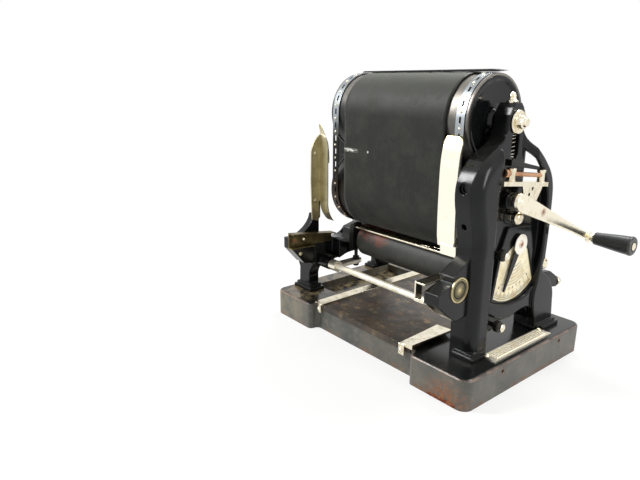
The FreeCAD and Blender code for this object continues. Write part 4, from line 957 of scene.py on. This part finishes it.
def leaf(name, rows=24, thick=0.8):
    """From foot to tip the middle line leans left and the half width tapers."""
    t = np.linspace(0, 1, rows)[:, None]
    middle = -119 - 21 * t ** 1.8
    half = 4.6 + 2.2 * np.sin(math.pi * t) - 3.4 * t ** 6
    around = np.array([[-1, -1], [1, -1], [1, 1], [-1, 1]], float)
    x = middle + half * around[None, :, 0]
    y = LEAF_Y + 1.5 * t ** 2 + thick * 0.5 * around[None, :, 1]
    z = LEAF_FOOT + LEAF_RISE * t + 0 * x
    return grid_mesh(name, np.stack([x, y, z], -1) * MM, close_columns=True, caps=True)


place_piece(sharp(leaf("left_guard_leaf")), guard_nickel)

# %% [markdown]
# Loose rust lies at the foot of the base, in front of the right block. Each crumb is a
# small uneven box, and their places come from a seeded generator, so every run lays the
# same crumbs. None lies on the roller, since it would be caught under the belt.

# %% Crumbs of rust
CRUMB = [[0, 1, 3, 2], [4, 6, 7, 5], [0, 4, 5, 1], [2, 3, 7, 6], [0, 2, 6, 4], [1, 5, 7, 3]]


def crumbs(name, centres, sizes, seed):
    """Eight-cornered crumbs: cube corners, each pushed in or out, times a size."""
    cube = np.array([[x, y, z] for x in (-1, 1) for y in (-1, 1) for z in (-1, 1)], float) * 0.5
    jitter = np.random.default_rng(seed).uniform(0.55, 1.15, (len(centres), 8, 3))
    return boxes(name, centres[:, None, :] + cube[None] * jitter * sizes[:, None, None], CRUMB)


BASE_FRONT, CRUMBS_FROM, CRUMBS_TO = -138.0, 142, 187
draw = np.random.default_rng(11)
count = 220
x = draw.uniform(CRUMBS_FROM, CRUMBS_TO, count)
z = 1.0 + np.abs(draw.normal(0, 2.6, count)) * (0.4 + (x - CRUMBS_FROM) / 60)
on_base = np.stack([x, np.full(count, BASE_FRONT), z], -1)
place_piece(crumbs("rust_on_base", on_base, draw.uniform(0.5, 1.6, count), 5), rust)

# %% [markdown]
# The stage is a plain pale floor. Seen by the camera, and in the metal, the floor and
# the world are white; the floor still takes the machine's own soft shadow.

# %% Floor and world
def seen(tree):
    """1 for what the camera sees straight, in a mirror or through glass."""
    rays = add(tree, "LightPath").outputs
    straight = sums(tree, "MAXIMUM", rays["Is Camera Ray"], rays["Is Glossy Ray"])
    return sums(tree, "MAXIMUM", straight, rays["Is Transmission Ray"])


def white_floor(name):
    """Matt white under the machine; further off it shows as plain white, as the world does."""
    mat, tree, shader, place = start(name)
    tree.nodes.remove(shader)
    matt = add(tree, "BsdfDiffuse", {"Color": linear("#f4f4f2")}).outputs[0]
    glow = add(tree, "Emission", {"Color": linear("#ffffff"), "Strength": 1.0}).outputs[0]
    away = add(tree, "VectorMath", {0: place}, operation="LENGTH").outputs["Value"]
    share = add(tree, "MapRange", {"Value": away, "From Min": 0.3, "From Max": 1.3, "To Min": 0.72,
                                   "To Max": 1.0}, interpolation_type="SMOOTHSTEP").outputs[0]
    both = add(tree, "MixShader", {0: times(tree, seen(tree), share), 1: matt, 2: glow}).outputs[0]
    feed(tree.nodes["Material Output"], {"Surface": both})
    return mat


FLOOR_HALF = 6000.0
corners = np.array([(-1, -1, 0), (1, -1, 0), (1, 1, 0), (-1, 1, 0)]) * FLOOR_HALF
floor_mesh = plain_mesh("floor", corners, [(0, 1, 2, 3)])
floor_mesh.materials.append(white_floor("pale_floor"))
floor = bpy.data.objects.new("floor", floor_mesh)
bpy.context.scene.collection.objects.link(floor)

world = bpy.data.worlds.new("studio")
bpy.context.scene.world = world
world.use_nodes = True
tree = world.node_tree
feed(tree.nodes["Background"], {"Color": linear("#ffffff"),
                                "Strength": sums(tree, "MULTIPLY_ADD", seen(tree), 0.60, 0.40)})
print("stage set")

# %% [markdown]
# Three large soft lamps: one high on the left front, one low on the right, and one above
# and behind for the bright line along the tops. Their size keeps the streaks in the
# black japan broad and soft-edged.

# %% Lamps
def lamp(name, place, target, width, height, watts):
    """An area lamp that looks at a point."""
    data = bpy.data.lights.new(name, "AREA")
    data.shape = "RECTANGLE"
    data.size = width
    data.size_y = height
    data.energy = watts
    item = bpy.data.objects.new(name, data)
    bpy.context.scene.collection.objects.link(item)
    away = np.array(place) - np.array(target)
    away = away / np.linalg.norm(away)
    item.location = place
    item.rotation_euler = (math.acos(away[2]), 0, math.atan2(away[0], -away[1]))


lamp("left_softbox", (-0.9, -1.1, 1.3), (0, 0, 0.2), 0.32, 1.0, 28)
lamp("right_softbox", (1.5, 0.1, 0.8), (0.1, 0, 0.2), 0.25, 1.0, 9)
lamp("top_softbox", (0.0, 0.8, 1.5), (0, 0, 0.2), 1.2, 0.4, 20)

# %% [markdown]
# The camera was solved from the straight edges of the base and the round ends of the
# cylinders: it stands in front and to the right, a little above the machine.

# %% Camera
SENSOR = 36
FOCAL_PIXELS, PHOTO_WIDTH = 555.51, 640
STAND = (0.55429, -0.64729, 0.39755)
TILT_DOWN, TURN = 0.285616, 0.895479
camera = bpy.data.cameras.new("camera")
camera.sensor_width = SENSOR
camera.lens = FOCAL_PIXELS / PHOTO_WIDTH * SENSOR
view = bpy.data.objects.new("camera", camera)
bpy.context.scene.collection.objects.link(view)
view.location = STAND
view.rotation_euler = (math.pi / 2 - TILT_DOWN, 0, TURN)
bpy.context.scene.camera = view
bpy.context.scene.view_settings.view_transform = "Standard"
print("camera lens", round(camera.lens, 2))
